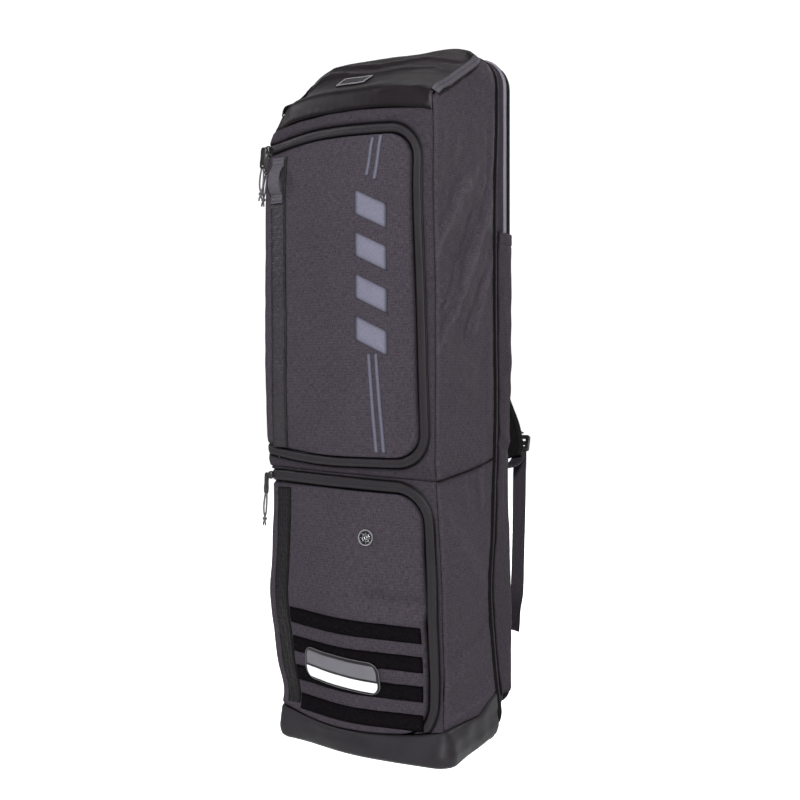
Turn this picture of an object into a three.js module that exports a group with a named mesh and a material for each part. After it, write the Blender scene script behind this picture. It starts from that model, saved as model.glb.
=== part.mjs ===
// Upright bag for field hockey sticks, in millimetres: X to the right, front towards -Y, Z up.
// It stands on its base boot at Z = 0 and is worn on the back by two padded straps behind it.
import * as THREE from "three";

// Cloth, webbing and the gap that sewn pieces keep
const WALL = 2;
const GAP = 0.3;
const TAPE_THICK = 1.2;
const WEBBING = { width: 20, thick: 1.6 };

// Body: a row for each height with its half width, front corner line, rear zip line,
// swell of the front between its corners and swell of the sides
const BODY = [
  { z: 0, half: 136, front: -82, rear: 63, crown: 0, bulge: 0 },
  { z: 5, half: 141, front: -87, rear: 66, crown: 0, bulge: 0 },
  { z: 16, half: 144, front: -90, rear: 69, crown: 1, bulge: 0 },
  { z: 40, half: 142.5, front: -88, rear: 65, crown: 4, bulge: 0 },
  { z: 66, half: 140, front: -86, rear: 58, crown: 7, bulge: 0 },
  { z: 121, half: 146, front: -94, rear: 46, crown: 10, bulge: 2 },
  { z: 225, half: 150, front: -107, rear: 32, crown: 12, bulge: 2 },
  { z: 310, half: 145.5, front: -106, rear: 40, crown: 10, bulge: 1 },
  { z: 375, half: 142.5, front: -109, rear: 44, crown: 7, bulge: 0 },
  { z: 395, half: 142, front: -110, rear: 45, crown: 7, bulge: 0 },
  { z: 415, half: 144, front: -116, rear: 47, crown: 8, bulge: 0 },
  { z: 500, half: 147, front: -120, rear: 50, crown: 9, bulge: 1 },
  { z: 640, half: 147.5, front: -121, rear: 47, crown: 9, bulge: 1 },
  { z: 775, half: 146, front: -124, rear: 47, crown: 8, bulge: 1 },
  { z: 864, half: 142.5, front: -118, rear: 51, crown: 8, bulge: 1 },
  { z: 892, half: 141.5, front: -117, rear: 53, crown: 8, bulge: 0 },
  { z: 917, half: 139.5, front: -116, rear: 54, crown: 8, bulge: 0 },
  { z: 950, half: 137.5, front: -116, rear: 54, crown: 8, bulge: 0 },
  { z: 976, half: 134, front: -116, rear: 51.5, crown: 8, bulge: 0 },
  { z: 997, half: 129, front: -116, rear: 46, crown: 8, bulge: 0 },
  { z: 1010, half: 124, front: -116, rear: 42, crown: 8, bulge: 0 },
];
const CORNER = 12;

// Lid: a row for each line across it, from its front lower edge over the ridge to the rear zip,
// with its share of the way over and its place at the side edges and in the middle
const LID = [
  { v: 0, edgeY: -113, edgeZ: 892.6, midY: -126, midZ: 905 },
  { v: 0.12, edgeY: -110, edgeZ: 917, midY: -121, midZ: 931 },
  { v: 0.3, edgeY: -77.4, edgeZ: 936.5, midY: -88.2, midZ: 951 },
  { v: 0.68, edgeY: -8.6, edgeZ: 977.5, midY: -18.8, midZ: 993 },
  { v: 0.86, edgeY: 24, edgeZ: 997, midY: 14, midZ: 1013 },
  { v: 0.93, edgeY: 36, edgeZ: 999, midY: 30, midZ: 1015.5 },
  { v: 1, edgeY: 45, edgeZ: 996, midY: 45, midZ: 1011 },
];
const LID_SHOULDER = 2.6;
const LID_WIDE = 134;
const LID_LONG = 210;
const LID_LINES = [0, 0.06, 0.12, 0.2, 0.3, 0.42, 0.55, 0.68, 0.78, 0.86, 0.93, 1];
const HIP_STRIP = { width: 14, thick: 1.6, from: 0.13, to: 0.85, clear: 0.7 };
const HIP_DROP = 3.3;
const LIP_INSET = { share: 0.022, from: 0.12, to: 0.2 };
const BADGE = { x: -14, width: 46, length: 30, thick: 1.2, at: 0.37 };

// Seams: waist across the whole bag, top of the base boot, and the left ends of the doors
const WAIST = { height: 397, fall: 6, rearRise: 24 };
const BOOT = { front: 34, corner: 48, rear: 72, lip: 20, wall: 2.5, floor: 12, clear: 0.9 };
const LEFT_WRAP = { round: 18, low: 867.5, high: 892.6, clear: 0.8 };

// Doors: outer line of the zip round each one, with the turns that its lower corner takes
const TURNS = [0, 22.5, 45, 67.5, 90].map(THREE.MathUtils.degToRad);
const FOOT_TURNS = [0, 15, 30, 43.6, 56, 68].map(THREE.MathUtils.degToRad);
const FRAME_TURNS = 4;
const FRAME_CROWDING = 0.6;
const UPPER_DOOR = { right: 129, bottom: 406, top: 885, corner: 52, zip: 16, turns: TURNS, levels: 8 };
const UPPER_ARCH = { peak: -30, reach: 110, left: 12, right: 3, bottomRise: 18, slant: 0.0274, level: 637 };
const LOWER_DOOR = { right: 138, bottom: 18, top: 393, corner: 58, zip: 18, turns: FOOT_TURNS, levels: 9 };
const LOWER_SCALE = 148;
const DOOR_COLUMNS = 7;

// Sides: shares of the way up at which each panel has a row of points
const UPPER_SIDE_ROWS = [0, 0.02, 0.045, 0.09, 0.2, 0.33, 0.46, 0.59, 0.71, 0.82];
const LOWER_SIDE_ROWS = [0, 0.06, 0.14, 0.24, 0.36, 0.48, 0.6, 0.72, 0.84, 0.94, 1];

// Pieces on the doors, and how far they lie off the cloth
const ON_CLOTH = 0.8;
const UPPER_TAPE = { left: -129, right: -102, bottom: 432, top: 852 };
const LOWER_TAPE = { left: -132, right: -107, bottom: 56, top: 374 };
const GREY_LOOP = { a: -116, width: 20, bottom: 785, low: 797, high: 838, top: 851, rise: 9, thick: 1.6 };
const LOOP_STRIP = { left: -101, right: 112, height: 22, thick: 2, fall: 0.05 };
const LOOP_STRIP_LEVELS = [185, 146, 106, 68];
const PATCH = { a: -13, z: 120, width: 128, height: 46, round: 16, tilt: -0.09, thick: 2.4 };
const VENT = { a: 32, z: 310, radius: 11.5, hole: 8.5, rim: 2.4, grille: 1 };

// Back: closed ring of the rear zip and gusset, then piping, padded panel and lower sleeve
const RING = { half: 147, top: 1009, corner: 46, footCorner: 24 };
const REAR_ZIP = { width: 9, recess: 1, clear: 1 };
const FOOT = { zip: 14, gusset: 16, panel: 46 };
const GUSSET_END = 80;
const PIPING = { from: 80.3, to: 86, proud: 1.5, deep: 3 };
const PANEL = { front: 86.3, back: 103, round: 4, lip: 2, rim: 9, sunk: 13 };
const SLEEVE = { top: 747, bottom: 66, edge: 11, corner: 4, clear: 0.4, thick: 1.4 };

// Right shoulder strap from its top anchor to its lower tip, a row for each cross section
const STRAP = [
  { z: 862, x: 46, y: 107.9, half: 31 },
  { z: 835, x: 46, y: 108.7, half: 33 },
  { z: 780, x: 47, y: 122, half: 33 },
  { z: 700, x: 54, y: 139, half: 32 },
  { z: 600, x: 68, y: 150, half: 31 },
  { z: 503, x: 90, y: 151, half: 29 },
  { z: 455, x: 107, y: 156, half: 28 },
  { z: 428, x: 116, y: 156, half: 25 },
  { z: 411, x: 121, y: 152, half: 18 },
];
const STRAP_THICK = 9;
const STRAP_EDGE = 3;
const STRAP_STEPS = 18;
const LOCK = { x: 128, y: 173, z: 432, width: 32, height: 24, thick: 4.5, bar: 5, tilt: -0.25 };
const ANCHOR_ROUTE = [
  { x: 134, y: 105.2, z: 399 },
  { x: 134, y: 122, z: 399.5 },
  { x: 132, y: 142, z: 402 },
  { x: 130, y: 158, z: 407 },
  { x: 129, y: 166, z: 413 },
  { x: 128.4, y: 169.8, z: 419.2 },
];
const LOCK_TAB_ROUTE = [
  { x: 110, y: 161.9, z: 472 },
  { x: 114, y: 162.3, z: 460 },
  { x: 119, y: 165.5, z: 453 },
  { x: 124, y: 171.5, z: 449 },
  { x: 127.3, y: 176.2, z: 446.2 },
];
const TAIL_ROUTE = [
  { x: 128, y: 175, z: 428, turn: 0 },
  { x: 127.5, y: 176, z: 410, turn: -0.2 },
  { x: 126.5, y: 175.5, z: 380, turn: -0.5 },
  { x: 125.5, y: 173.5, z: 320, turn: -0.7 },
  { x: 125, y: 172, z: 250, turn: -0.8 },
  { x: 125, y: 171, z: 190, turn: -0.5 },
  { x: 125, y: 170, z: 140, turn: -0.2 },
];
const TAIL_STEPS = 11;

// Zip sliders at the left ends of the door zips, with pull tabs and cord loops that hang from them
// and are turned about the upright to face the front
const SLIDER = { length: 12, height: 9, thick: 5, round: 2 };
const TAB = { width: 8, length: 30, thick: 2.4, round: 2.5, above: 3 };
const CORD = { diameter: 2.6, drop: 34, spread: 4.2, knot: 4, steps: 12 };
const CORD_LEG = [
  { down: 0, aside: 0.35, out: 0 },
  { down: 0.25, aside: 0.6, out: 0.5 },
  { down: 0.55, aside: 0.7, out: 1 },
  { down: 0.85, aside: 0.5, out: 1 },
  { down: 1, aside: 0, out: 1 },
];
const PULLS = [
  { name: "upper_front", round: -2, z: 866, swing: 0.06, lift: 0.3, facing: 0.85 },
  { name: "upper_side", round: 15, z: 862, swing: 0.16, lift: -0.4, facing: 1.3 },
  { name: "lower", round: 3, z: 390, swing: 0.05, lift: 0.3, facing: 0.85 },
];

const MATERIALS = {
  heather: { color: 0x3d3b42, roughness: 0.85, metalness: 0 },
  coated: { color: 0x18181b, roughness: 0.6, metalness: 0 },
  boot_rubber: { color: 0x1d1d20, roughness: 0.65, metalness: 0 },
  zip_band: { color: 0x2b2b2e, roughness: 0.55, metalness: 0 },
  loop_pile: { color: 0x131315, roughness: 0.95, metalness: 0 },
  grey_webbing: { color: 0x6d6d72, roughness: 0.8, metalness: 0 },
  black_webbing: { color: 0x151516, roughness: 0.8, metalness: 0 },
  mesh_padding: { color: 0x1b1b1d, roughness: 0.9, metalness: 0 },
  patch_cloth: { color: 0xa9a8ae, roughness: 0.8, metalness: 0 },
  black_plastic: { color: 0x121213, roughness: 0.45, metalness: 0 },
  steel: { color: 0xb4b4b8, roughness: 0.3, metalness: 1 },
  cord_grey: { color: 0x77777c, roughness: 0.85, metalness: 0 },
};

const group = new THREE.Group();

// Adds one named sub-part with a material of its own.
function add(name, geometry, material) {
  const mesh = new THREE.Mesh(geometry, new THREE.MeshStandardMaterial(MATERIALS[material]));
  mesh.name = name;
  group.add(mesh);
}

const lerp = THREE.MathUtils.lerp;
const smoothstep = THREE.MathUtils.smoothstep;
const vec = (x, y, z) => new THREE.Vector3(x, y, z);

// Runs a smooth curve through one column of a table at the place where key has a value.
function curveThrough(rows, key, column, value) {
  const last = rows.length - 1;
  let i = 0;
  while (i < last - 1 && value > rows[i + 1][key]) i += 1;
  const rise = (k) => (rows[k + 1][column] - rows[k][column]) / (rows[k + 1][key] - rows[k][key]);
  const slopeAt = (k) => {
    if (k === 0) return rise(0);
    if (k === last) return rise(last - 1);
    const [before, after] = [rise(k - 1), rise(k)];
    return before * after <= 0 ? 0 : (2 * before * after) / (before + after);
  };
  const span = rows[i + 1][key] - rows[i][key];
  const t = THREE.MathUtils.clamp((value - rows[i][key]) / span, 0, 1);
  const t2 = t * t;
  const t3 = t2 * t;
  return (
    (2 * t3 - 3 * t2 + 1) * rows[i][column] +
    (t3 - 2 * t2 + t) * span * slopeAt(i) +
    (3 * t2 - 2 * t3) * rows[i + 1][column] +
    (t3 - t2) * span * slopeAt(i + 1)
  );
}

// Half width of the back ring at a height, with its round upper corners.
function ringHalf(z) {
  const rise = Math.max(0, z - (RING.top - RING.corner));
  const reach = Math.sqrt(Math.max(0, RING.corner ** 2 - rise ** 2));
  return RING.half - RING.corner + reach;
}

// Sizes of the body's cross section at a height.
function section(z) {
  const at = (column) => curveThrough(BODY, "z", column, z);
  const half = at("half");
  const flat = half - CORNER;
  const quarter = (CORNER * Math.PI) / 2;
  const depth = at("rear") - at("front") - CORNER;
  const rearHalf = lerp(half, ringHalf(z), smoothstep(z, 20, 60));
  const [front, crown, bulge] = ["front", "crown", "bulge"].map(at);
  return { half, flat, quarter, depth, rearHalf, front, crown, bulge };
}

// Point of the body's outer surface: a is the way round it from the front's middle line,
// positive to the right, and z the height.
function bodyPoint(a, z) {
  const s = section(z);
  const side = a < 0 ? -1 : 1;
  const reach = Math.abs(a);
  if (reach <= s.flat) {
    const swell = Math.cos((Math.PI / 2) * (reach / s.flat)) ** 2;
    return vec(a, s.front - s.crown * swell, z);
  }
  if (reach <= s.flat + s.quarter) {
    const turn = (reach - s.flat) / CORNER;
    return vec(side * (s.flat + CORNER * Math.sin(turn)), s.front + CORNER * (1 - Math.cos(turn)), z);
  }
  const along = reach - s.flat - s.quarter;
  const t = along / s.depth;
  const half = lerp(s.half, s.rearHalf, smoothstep(t, 0, 1));
  const swell = s.bulge * Math.sin(Math.PI * Math.min(t, 1));
  return vec(side * (half + swell), s.front + CORNER + along, z);
}

// Outward direction of a surface at a place, from two small steps along it.
function normalOf(surface, u, v, stepU, stepV) {
  const alongU = surface(u + stepU, v).sub(surface(u - stepU, v));
  const alongV = surface(u, v + stepV).sub(surface(u, v - stepV));
  return alongU.cross(alongV).normalize();
}

const bodyNormal = (a, z) => normalOf(bodyPoint, a, z, 0.5, 0.5);

// Ways round the body that seams and rows of points use.
const cornerSeam = (z) => section(z).flat + section(z).quarter / 2;
const rearSeam = (z) => section(z).flat + section(z).quarter + section(z).depth - GAP;

function leftSeam(z) {
  const wrap = THREE.MathUtils.clamp((LEFT_WRAP.high - z) / (LEFT_WRAP.high - LEFT_WRAP.low), 0, 1);
  return -(cornerSeam(z) + wrap * (section(z).quarter / 2 + LEFT_WRAP.round));
}

// Way round to the place on a side that lies at a depth y.
function sidePlace(y, z) {
  const s = section(z);
  const along = y - s.front - CORNER;
  if (along >= 0) return s.flat + s.quarter + along;
  return s.flat + CORNER * Math.acos(THREE.MathUtils.clamp(-along / CORNER, 0, 1));
}

// Turns an indexed list of points into a closed mesh that faces outwards.
function closedMesh(points, triangles) {
  let volume = 0;
  for (const [i, j, k] of triangles) {
    volume += points[i].dot(points[j].clone().cross(points[k]));
  }
  const index = triangles.flatMap(([i, j, k]) => (volume < 0 ? [i, k, j] : [i, j, k]));
  const geometry = new THREE.BufferGeometry();
  const places = points.flatMap((p) => p.toArray());
  geometry.setAttribute("position", new THREE.Float32BufferAttribute(places, 3));
  geometry.setIndex(index);
  geometry.computeVertexNormals();
  return geometry;
}

// Closed wall between two grids of points with the same rows and columns.
function wall(outer, inner) {
  const rows = outer.length;
  const columns = outer[0].length;
  const points = [...outer.flat(), ...inner.flat()];
  const out = (i, j) => i * columns + j;
  const into = (i, j) => rows * columns + i * columns + j;
  const triangles = [];
  const quad = (p, q, r, s) => triangles.push([p, q, r], [p, r, s]);
  for (let i = 0; i + 1 < rows; i += 1) {
    for (let j = 0; j + 1 < columns; j += 1) {
      quad(out(i, j), out(i + 1, j), out(i + 1, j + 1), out(i, j + 1));
      quad(into(i, j), into(i, j + 1), into(i + 1, j + 1), into(i + 1, j));
    }
    quad(out(i, 0), into(i, 0), into(i + 1, 0), out(i + 1, 0));
    quad(out(i, columns - 1), out(i + 1, columns - 1), into(i + 1, columns - 1), into(i, columns - 1));
  }
  for (let j = 0; j + 1 < columns; j += 1) {
    quad(out(0, j), out(0, j + 1), into(0, j + 1), into(0, j));
    quad(out(rows - 1, j), into(rows - 1, j), into(rows - 1, j + 1), out(rows - 1, j + 1));
  }
  return closedMesh(points, triangles);
}

// Cloth lying along the body's surface over a grid of [a, z] places, lifted off it by lift.
function cloth(grid, lift = 0, thick = WALL, swell = () => 0) {
  const layer = (depth) =>
    grid.map((row, i) =>
      row.map(([a, z], j) => {
        const height = depth + swell(i / (grid.length - 1), j / (row.length - 1));
        return bodyPoint(a, z).addScaledVector(bodyNormal(a, z), height);
      }),
    );
  return wall(layer(lift), layer(lift - thick));
}

// Solid through a row of closed loops of points, capped at its two ends or closed on itself.
function loft(loops, closed = false) {
  const count = loops[0].length;
  const points = loops.flat();
  const triangles = [];
  const turns = closed ? loops.length : loops.length - 1;
  for (let i = 0; i < turns; i += 1) {
    const next = (i + 1) % loops.length;
    for (let j = 0; j < count; j += 1) {
      const beside = (j + 1) % count;
      const [p, q] = [i * count + j, i * count + beside];
      const [r, s] = [next * count + beside, next * count + j];
      triangles.push([p, q, r], [p, r, s]);
    }
  }
  if (!closed) {
    for (const [start, flip] of [[0, true], [(loops.length - 1) * count, false]]) {
      const middle = points.length;
      const centre = vec(0, 0, 0);
      for (let j = 0; j < count; j += 1) centre.addScaledVector(points[start + j], 1 / count);
      points.push(centre);
      for (let j = 0; j < count; j += 1) {
        const [p, q] = [start + j, start + ((j + 1) % count)];
        triangles.push(flip ? [middle, q, p] : [middle, p, q]);
      }
    }
  }
  return closedMesh(points, triangles);
}

// Evenly spaced numbers from first to last.
const spaced = (first, last, steps) =>
  Array.from({ length: steps + 1 }, (_, i) => lerp(first, last, i / steps));

// Seam heights
function waistHeight(a) {
  const s = section(WAIST.height);
  const along = THREE.MathUtils.clamp((Math.abs(a) - s.flat) / (s.quarter + s.depth), 0, 1);
  const tilt = THREE.MathUtils.clamp(a / s.half, -1, 1);
  return WAIST.height - WAIST.fall * tilt + WAIST.rearRise * along ** 1.5;
}

function bootHeight(a) {
  const s = section(BOOT.corner);
  const across = Math.min(1, Math.abs(a) / (s.flat + s.quarter / 2));
  const along = THREE.MathUtils.clamp((Math.abs(a) - s.flat - s.quarter) / s.depth, 0, 1);
  const rise = (BOOT.rear - BOOT.corner) * smoothstep(along, 0.55, 1);
  return lerp(BOOT.front, BOOT.corner, across ** 3) + rise;
}

// Lid surface: u from -1 to 1 across it, v from 0 at its front edge to 1 at the rear zip.
const lidAt = (column, v) => curveThrough(LID, "v", column, v);

function lidEdge(v) {
  const [y, z] = [lidAt("edgeY", v), lidAt("edgeZ", v)];
  return bodyPoint(Math.max(sidePlace(y, z), cornerSeam(z)), z);
}

function lidPoint(u, v) {
  const edge = lidEdge(v);
  const toEdge = Math.abs(u) ** LID_SHOULDER;
  return vec(u * edge.x, lerp(lidAt("midY", v), edge.y, toEdge), lerp(lidAt("midZ", v), edge.z, toEdge));
}

const lidNormal = (u, v) => normalOf(lidPoint, u, v, 0.01, 0.005);

// Height of the lid's lower front edge, which the front panel meets.
function lidFront(a) {
  const share = Math.min(1, Math.abs(a) / cornerSeam(LID[0].edgeZ));
  return lerp(LID[0].midZ, LID[0].edgeZ, share ** LID_SHOULDER);
}

// Cloth lying along the lid over a grid of [u, v] places.
function lidCloth(grid, lift = 0, thick = WALL) {
  const layer = (depth) =>
    grid.map((row) => row.map(([u, v]) => lidPoint(u, v).addScaledVector(lidNormal(u, v), depth)));
  return wall(layer(lift), layer(lift - thick));
}

function makeLid() {
  const half = [0.17, 0.5, 0.76, 0.92, 1];
  const across = [...half.toReversed().map((u) => -u), ...half];
  const lip = (v) => 1 - LIP_INSET.share * (1 - smoothstep(v, LIP_INSET.from, LIP_INSET.to));
  add("lid", lidCloth(LID_LINES.map((v) => across.map((u) => [u * lip(v), v]))), "coated");
  for (const [name, side] of [["left", -1], ["right", 1]]) {
    const lines = LID_LINES.filter((v) => v > HIP_STRIP.from && v < HIP_STRIP.to);
    const loops = [HIP_STRIP.from, ...lines, HIP_STRIP.to].map((v) => hipLoop(v, side));
    add(`lid_strip_${name}`, loft(loops), "grey_webbing");
  }
  const reachU = BADGE.width / 2 / LID_WIDE;
  const reachV = BADGE.length / 2 / LID_LONG;
  const middle = BADGE.x / LID_WIDE;
  const rows = spaced(BADGE.at - reachV, BADGE.at + reachV, 3);
  const grid = rows.map((v) => spaced(middle - reachU, middle + reachU, 4).map((u) => [u, v]));
  add("lid_badge", lidCloth(grid, ON_CLOTH + BADGE.thick, BADGE.thick), "zip_band");
}

// Cross section of the webbing strip laid over the hip between lid and side.
function hipLoop(v, side) {
  const ahead = lidEdge(v + 0.01).sub(lidEdge(v - 0.01)).normalize();
  const outward = vec(0.72, 0, 0.69);
  outward.addScaledVector(ahead, -outward.dot(ahead)).normalize();
  const across = ahead.clone().cross(outward);
  const seat = lidEdge(v).addScaledVector(outward, HIP_STRIP.clear);
  const corners = [[-1, 0], [1, 0], [1, 1], [-1, 1]];
  return corners.map(([c, lift]) => {
    const p = seat.clone().addScaledVector(across, (c * HIP_STRIP.width) / 2);
    p.addScaledVector(outward, lift * HIP_STRIP.thick);
    return vec(side * p.x, p.y, p.z);
  });
}

// Bends a place on a door's straight outline to the line that the door has on the bag.
function bendUpper(a, z) {
  const share = (z - UPPER_DOOR.bottom) / (UPPER_DOOR.top - UPPER_DOOR.bottom);
  const away = (a - UPPER_ARCH.peak) / UPPER_ARCH.reach;
  const topDrop = (away < 0 ? UPPER_ARCH.left : UPPER_ARCH.right) * away ** 2;
  const bottomRise = UPPER_ARCH.bottomRise * (Math.max(0, -a) / LOWER_SCALE) ** 2;
  const slanted = a - UPPER_ARCH.slant * (z - UPPER_ARCH.level) * (a / UPPER_DOOR.right);
  return [slanted, z + lerp(bottomRise, -topDrop, share)];
}

function bendLower(a, z) {
  const foot = LOWER_DOOR.bottom + LOWER_DOOR.zip;
  const share = Math.max(0, (z - foot) / (LOWER_DOOR.top - foot));
  const top = LOWER_DOOR.top - WAIST.fall * (a / LOWER_DOOR.right);
  const height = lerp(bootHeight(a) + BOOT.clear, top, share);
  return [(a * section(height).half) / LOWER_SCALE, height];
}

// Straight rows of a door, from its foot to its top, each with its height and right-hand end.
function doorRows(door, inset) {
  const radius = door.corner - inset;
  const middle = door.right - door.corner;
  const [high, low] = [door.top - door.corner, door.bottom + door.corner];
  const turned = (turn, from, end) => ({
    z: from + end * radius * Math.sin(turn),
    right: middle + radius * Math.cos(turn),
    turn,
    end,
  });
  const straight = spaced(low, high, door.levels).slice(1, -1);
  return [
    ...door.turns.toReversed().map((turn) => turned(turn, low, -1)),
    ...straight.map((z) => ({ z, right: door.right - inset, turn: 0, end: 0 })),
    ...TURNS.map((turn) => turned(turn, high, 1)),
  ];
}

// Places of one straight row, bent to the bag: round the left corner, then evenly to the right end.
function bentRow(row, bend) {
  const height = bend(-LOWER_SCALE, row.z)[1];
  const s = section(height);
  const corner = [leftSeam(height) + LEFT_WRAP.clear, -(s.flat + s.quarter / 2)];
  const across = spaced(-s.flat, row.right, DOOR_COLUMNS);
  return [...corner.map((a) => [a, bend(a, row.z)[1]]), ...across.map((a) => bend(a, row.z))];
}

// Line round a door: along its top, down its right side, and back along its foot where it has one.
function doorLine(door, inset, bend) {
  const rows = doorRows(door, inset).toReversed();
  const sides = rows.slice(1).map((row) => bend(row.right, row.z));
  const top = bentRow(rows[0], bend);
  if (door.turns !== TURNS) return [...top, ...sides];
  return [...top, ...sides, ...bentRow(rows[rows.length - 1], bend).toReversed().slice(1)];
}

// Cloth between two lines of [a, z] places.
function clothBetween(first, second, lift = 0) {
  const grid = first.map((p, i) => {
    const q = second[i];
    return [0, 0.5, 1].map((t) => [lerp(p[0], q[0], t), lerp(p[1], q[1], t)]);
  });
  return cloth(grid, lift);
}

// Outer edge of the front panel round a door, point by point opposite the door's own line.
function frameLine(door, bend, topEdge, footEdge) {
  const rows = doorRows(door, 0).toReversed();
  const seam = (z) => cornerSeam(z) - GAP;
  const middle = door.right - door.corner;
  const inside = (a, z, j) => Math.max(a, leftSeam(z) + LEFT_WRAP.clear + 2 * Math.min(j, 1));
  const along = (row, edge) => bentRow(row, bend).map(([a], j) => [inside(a, edge(a), j), edge(a)]);
  const turnOf = Math.tan(door.turns[Math.min(FRAME_TURNS, door.turns.length) - 1]);
  const sides = rows.slice(1).map((row) => {
    if (row.end === 0) return [seam(row.z), bend(row.right, row.z)[1]];
    const edge = row.end > 0 ? topEdge : footEdge;
    const limit = row.end > 0 || door.turns === TURNS ? 1 : turnOf;
    const corner = edge(seam(edge(door.right)));
    const start = bend(door.right, row.end > 0 ? door.top - door.corner : door.bottom + door.corner)[1];
    const slope = Math.tan(row.turn) / limit;
    if (slope <= 1.001) {
      const height = lerp(start, corner, Math.min(slope, 1) ** FRAME_CROWDING);
      return [seam(height), height];
    }
    const a = lerp(bend(middle, row.z)[0], seam(corner), 1 / slope);
    return [a, edge(a)];
  });
  const top = along(rows[0], topEdge);
  if (door.turns !== TURNS) return [...top, ...sides];
  return [...top, ...sides, ...along(rows[rows.length - 1], footEdge).toReversed().slice(1)];
}

function makeUpperFront() {
  const door = UPPER_DOOR;
  const line = (inset) => doorLine(door, inset, bendUpper);
  add("upper_zip", clothBetween(line(door.zip - GAP), line(GAP), -0.6), "zip_band");
  const frame = frameLine(door, bendUpper, (a) => lidFront(a) - GAP * 2, (a) => waistHeight(a) + GAP);
  add("front_upper", clothBetween(line(-GAP), frame), "heather");
  const grid = doorRows(door, door.zip + GAP).map((row) => bentRow(row, bendUpper));
  add("upper_door", cloth(grid), "heather");
}

function makeLowerFront() {
  const door = LOWER_DOOR;
  const line = (inset) => doorLine(door, inset, bendLower);
  add("lower_zip", clothBetween(line(door.zip - GAP), line(GAP), -0.6), "zip_band");
  const rim = line(-GAP);
  const frame = frameLine(door, bendLower, (a) => waistHeight(a) - GAP, (a) => bootHeight(a) + BOOT.clear);
  const shown = rim.length - (FOOT_TURNS.length - FRAME_TURNS);
  add("front_lower", clothBetween(rim.slice(0, shown), frame.slice(0, shown)), "heather");
  const inset = door.zip + GAP;
  const foot = { z: door.bottom + inset, right: door.right - door.corner };
  const grid = [foot, ...doorRows(door, inset)].map((row) => bentRow(row, bendLower));
  add("lower_door", cloth(grid), "heather");
}

// Way round to the columns of a side panel, whose shares follow the lid's own lines at the hip.
function columnPlace(side, share, z) {
  const seam = side > 0 ? cornerSeam(z) + GAP : LEFT_WRAP.clear - leftSeam(z);
  return side * lerp(seam, rearSeam(z), share);
}

const HIP_COLUMNS = LID_LINES.filter((v) => v >= LID[1].v).map((v, i) => {
  const [y, z] = [lidAt("edgeY", v), lidAt("edgeZ", v)];
  const share = (sidePlace(y, z) - cornerSeam(z)) / (rearSeam(z) - cornerSeam(z));
  return { share: v === 1 ? 1 : i && share, top: z - HIP_DROP };
});

function sidePanel(side, lowEdge, highEdge, rows) {
  const grid = HIP_COLUMNS.map((column) => {
    const low = lowEdge(column.share);
    const high = highEdge(column);
    return rows.map((r) => {
      const z = lerp(low, high, r);
      return [columnPlace(side, column.share, z), z];
    });
  });
  return cloth(grid);
}

function makeSides() {
  for (const [name, side] of [["left", -1], ["right", 1]]) {
    const waist = (share) => waistHeight(columnPlace(side, share, WAIST.height));
    const boot = (share) => bootHeight(columnPlace(side, share, BOOT.corner)) + BOOT.clear;
    const [low, high] = [waist(0) + GAP, HIP_COLUMNS[0].top];
    const [wrapLow, wrapHigh] = [LEFT_WRAP.low, LEFT_WRAP.high].map((z) => (z - low) / (high - low));
    const wrapMiddle = (wrapLow + wrapHigh) / 2;
    const upperRows = [...UPPER_SIDE_ROWS, wrapLow, wrapMiddle, wrapHigh, 1];
    const upper = sidePanel(side, (share) => waist(share) + GAP, (column) => column.top, upperRows);
    add(`side_upper_${name}`, upper, "heather");
    const lower = sidePanel(side, boot, (column) => waist(column.share) - GAP, LOWER_SIDE_ROWS);
    add(`side_lower_${name}`, lower, "heather");
  }
}

// Base boot: a cup whose upper edge is the boot seam, low at the rear.
function makeBoot() {
  const corner = [1, 0.67, 0.33, 0].map((f) => (z) => section(z).flat + section(z).quarter * f);
  const rear = HIP_COLUMNS.slice(4).toReversed();
  const left = rear.map(({ share }) => (z) => columnPlace(-1, share, z));
  const right = rear.toReversed().map(({ share }) => (z) => columnPlace(1, share, z));
  const front = spaced(-0.9, 0.9, 8).map((f) => (z) => section(z).flat * f);
  const round = corner.map((way) => (z) => -way(z));
  const lanes = [...left, ...round, ...front, ...corner.toReversed(), ...right];
  const levels = [0, 0.1, 0.35, 1];
  const outer = levels.map((t) => bootLoop(lanes, (top) => lerp(0, top, t), 0));
  const inner = levels.map((t) => bootLoop(lanes, (top) => lerp(BOOT.floor, top, t), BOOT.wall));
  add("base_boot", loft([...outer, ...inner.toReversed()]), "boot_rubber");
}

// One loop round the boot with each point at its own height, set in by the wall's thickness.
function bootLoop(lanes, heightFor, inset) {
  const ring = lanes.map((way, i) => {
    const z = heightFor(bootHeight(way(BOOT.corner)));
    const inward = bodyNormal(way(z), z).setZ(0).normalize();
    const p = bodyPoint(way(z), z).addScaledVector(inward, -inset);
    if (i === 0 || i === lanes.length - 1) p.y -= inset;
    return p;
  });
  const z = heightFor(BOOT.lip);
  const rearY = curveThrough(BODY, "z", "rear", z) - inset - GAP;
  const half = section(z).half - inset;
  return [...ring, ...[0.8, 0.3, -0.3, -0.8].map((share) => vec(half * share, rearY, z))];
}

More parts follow.
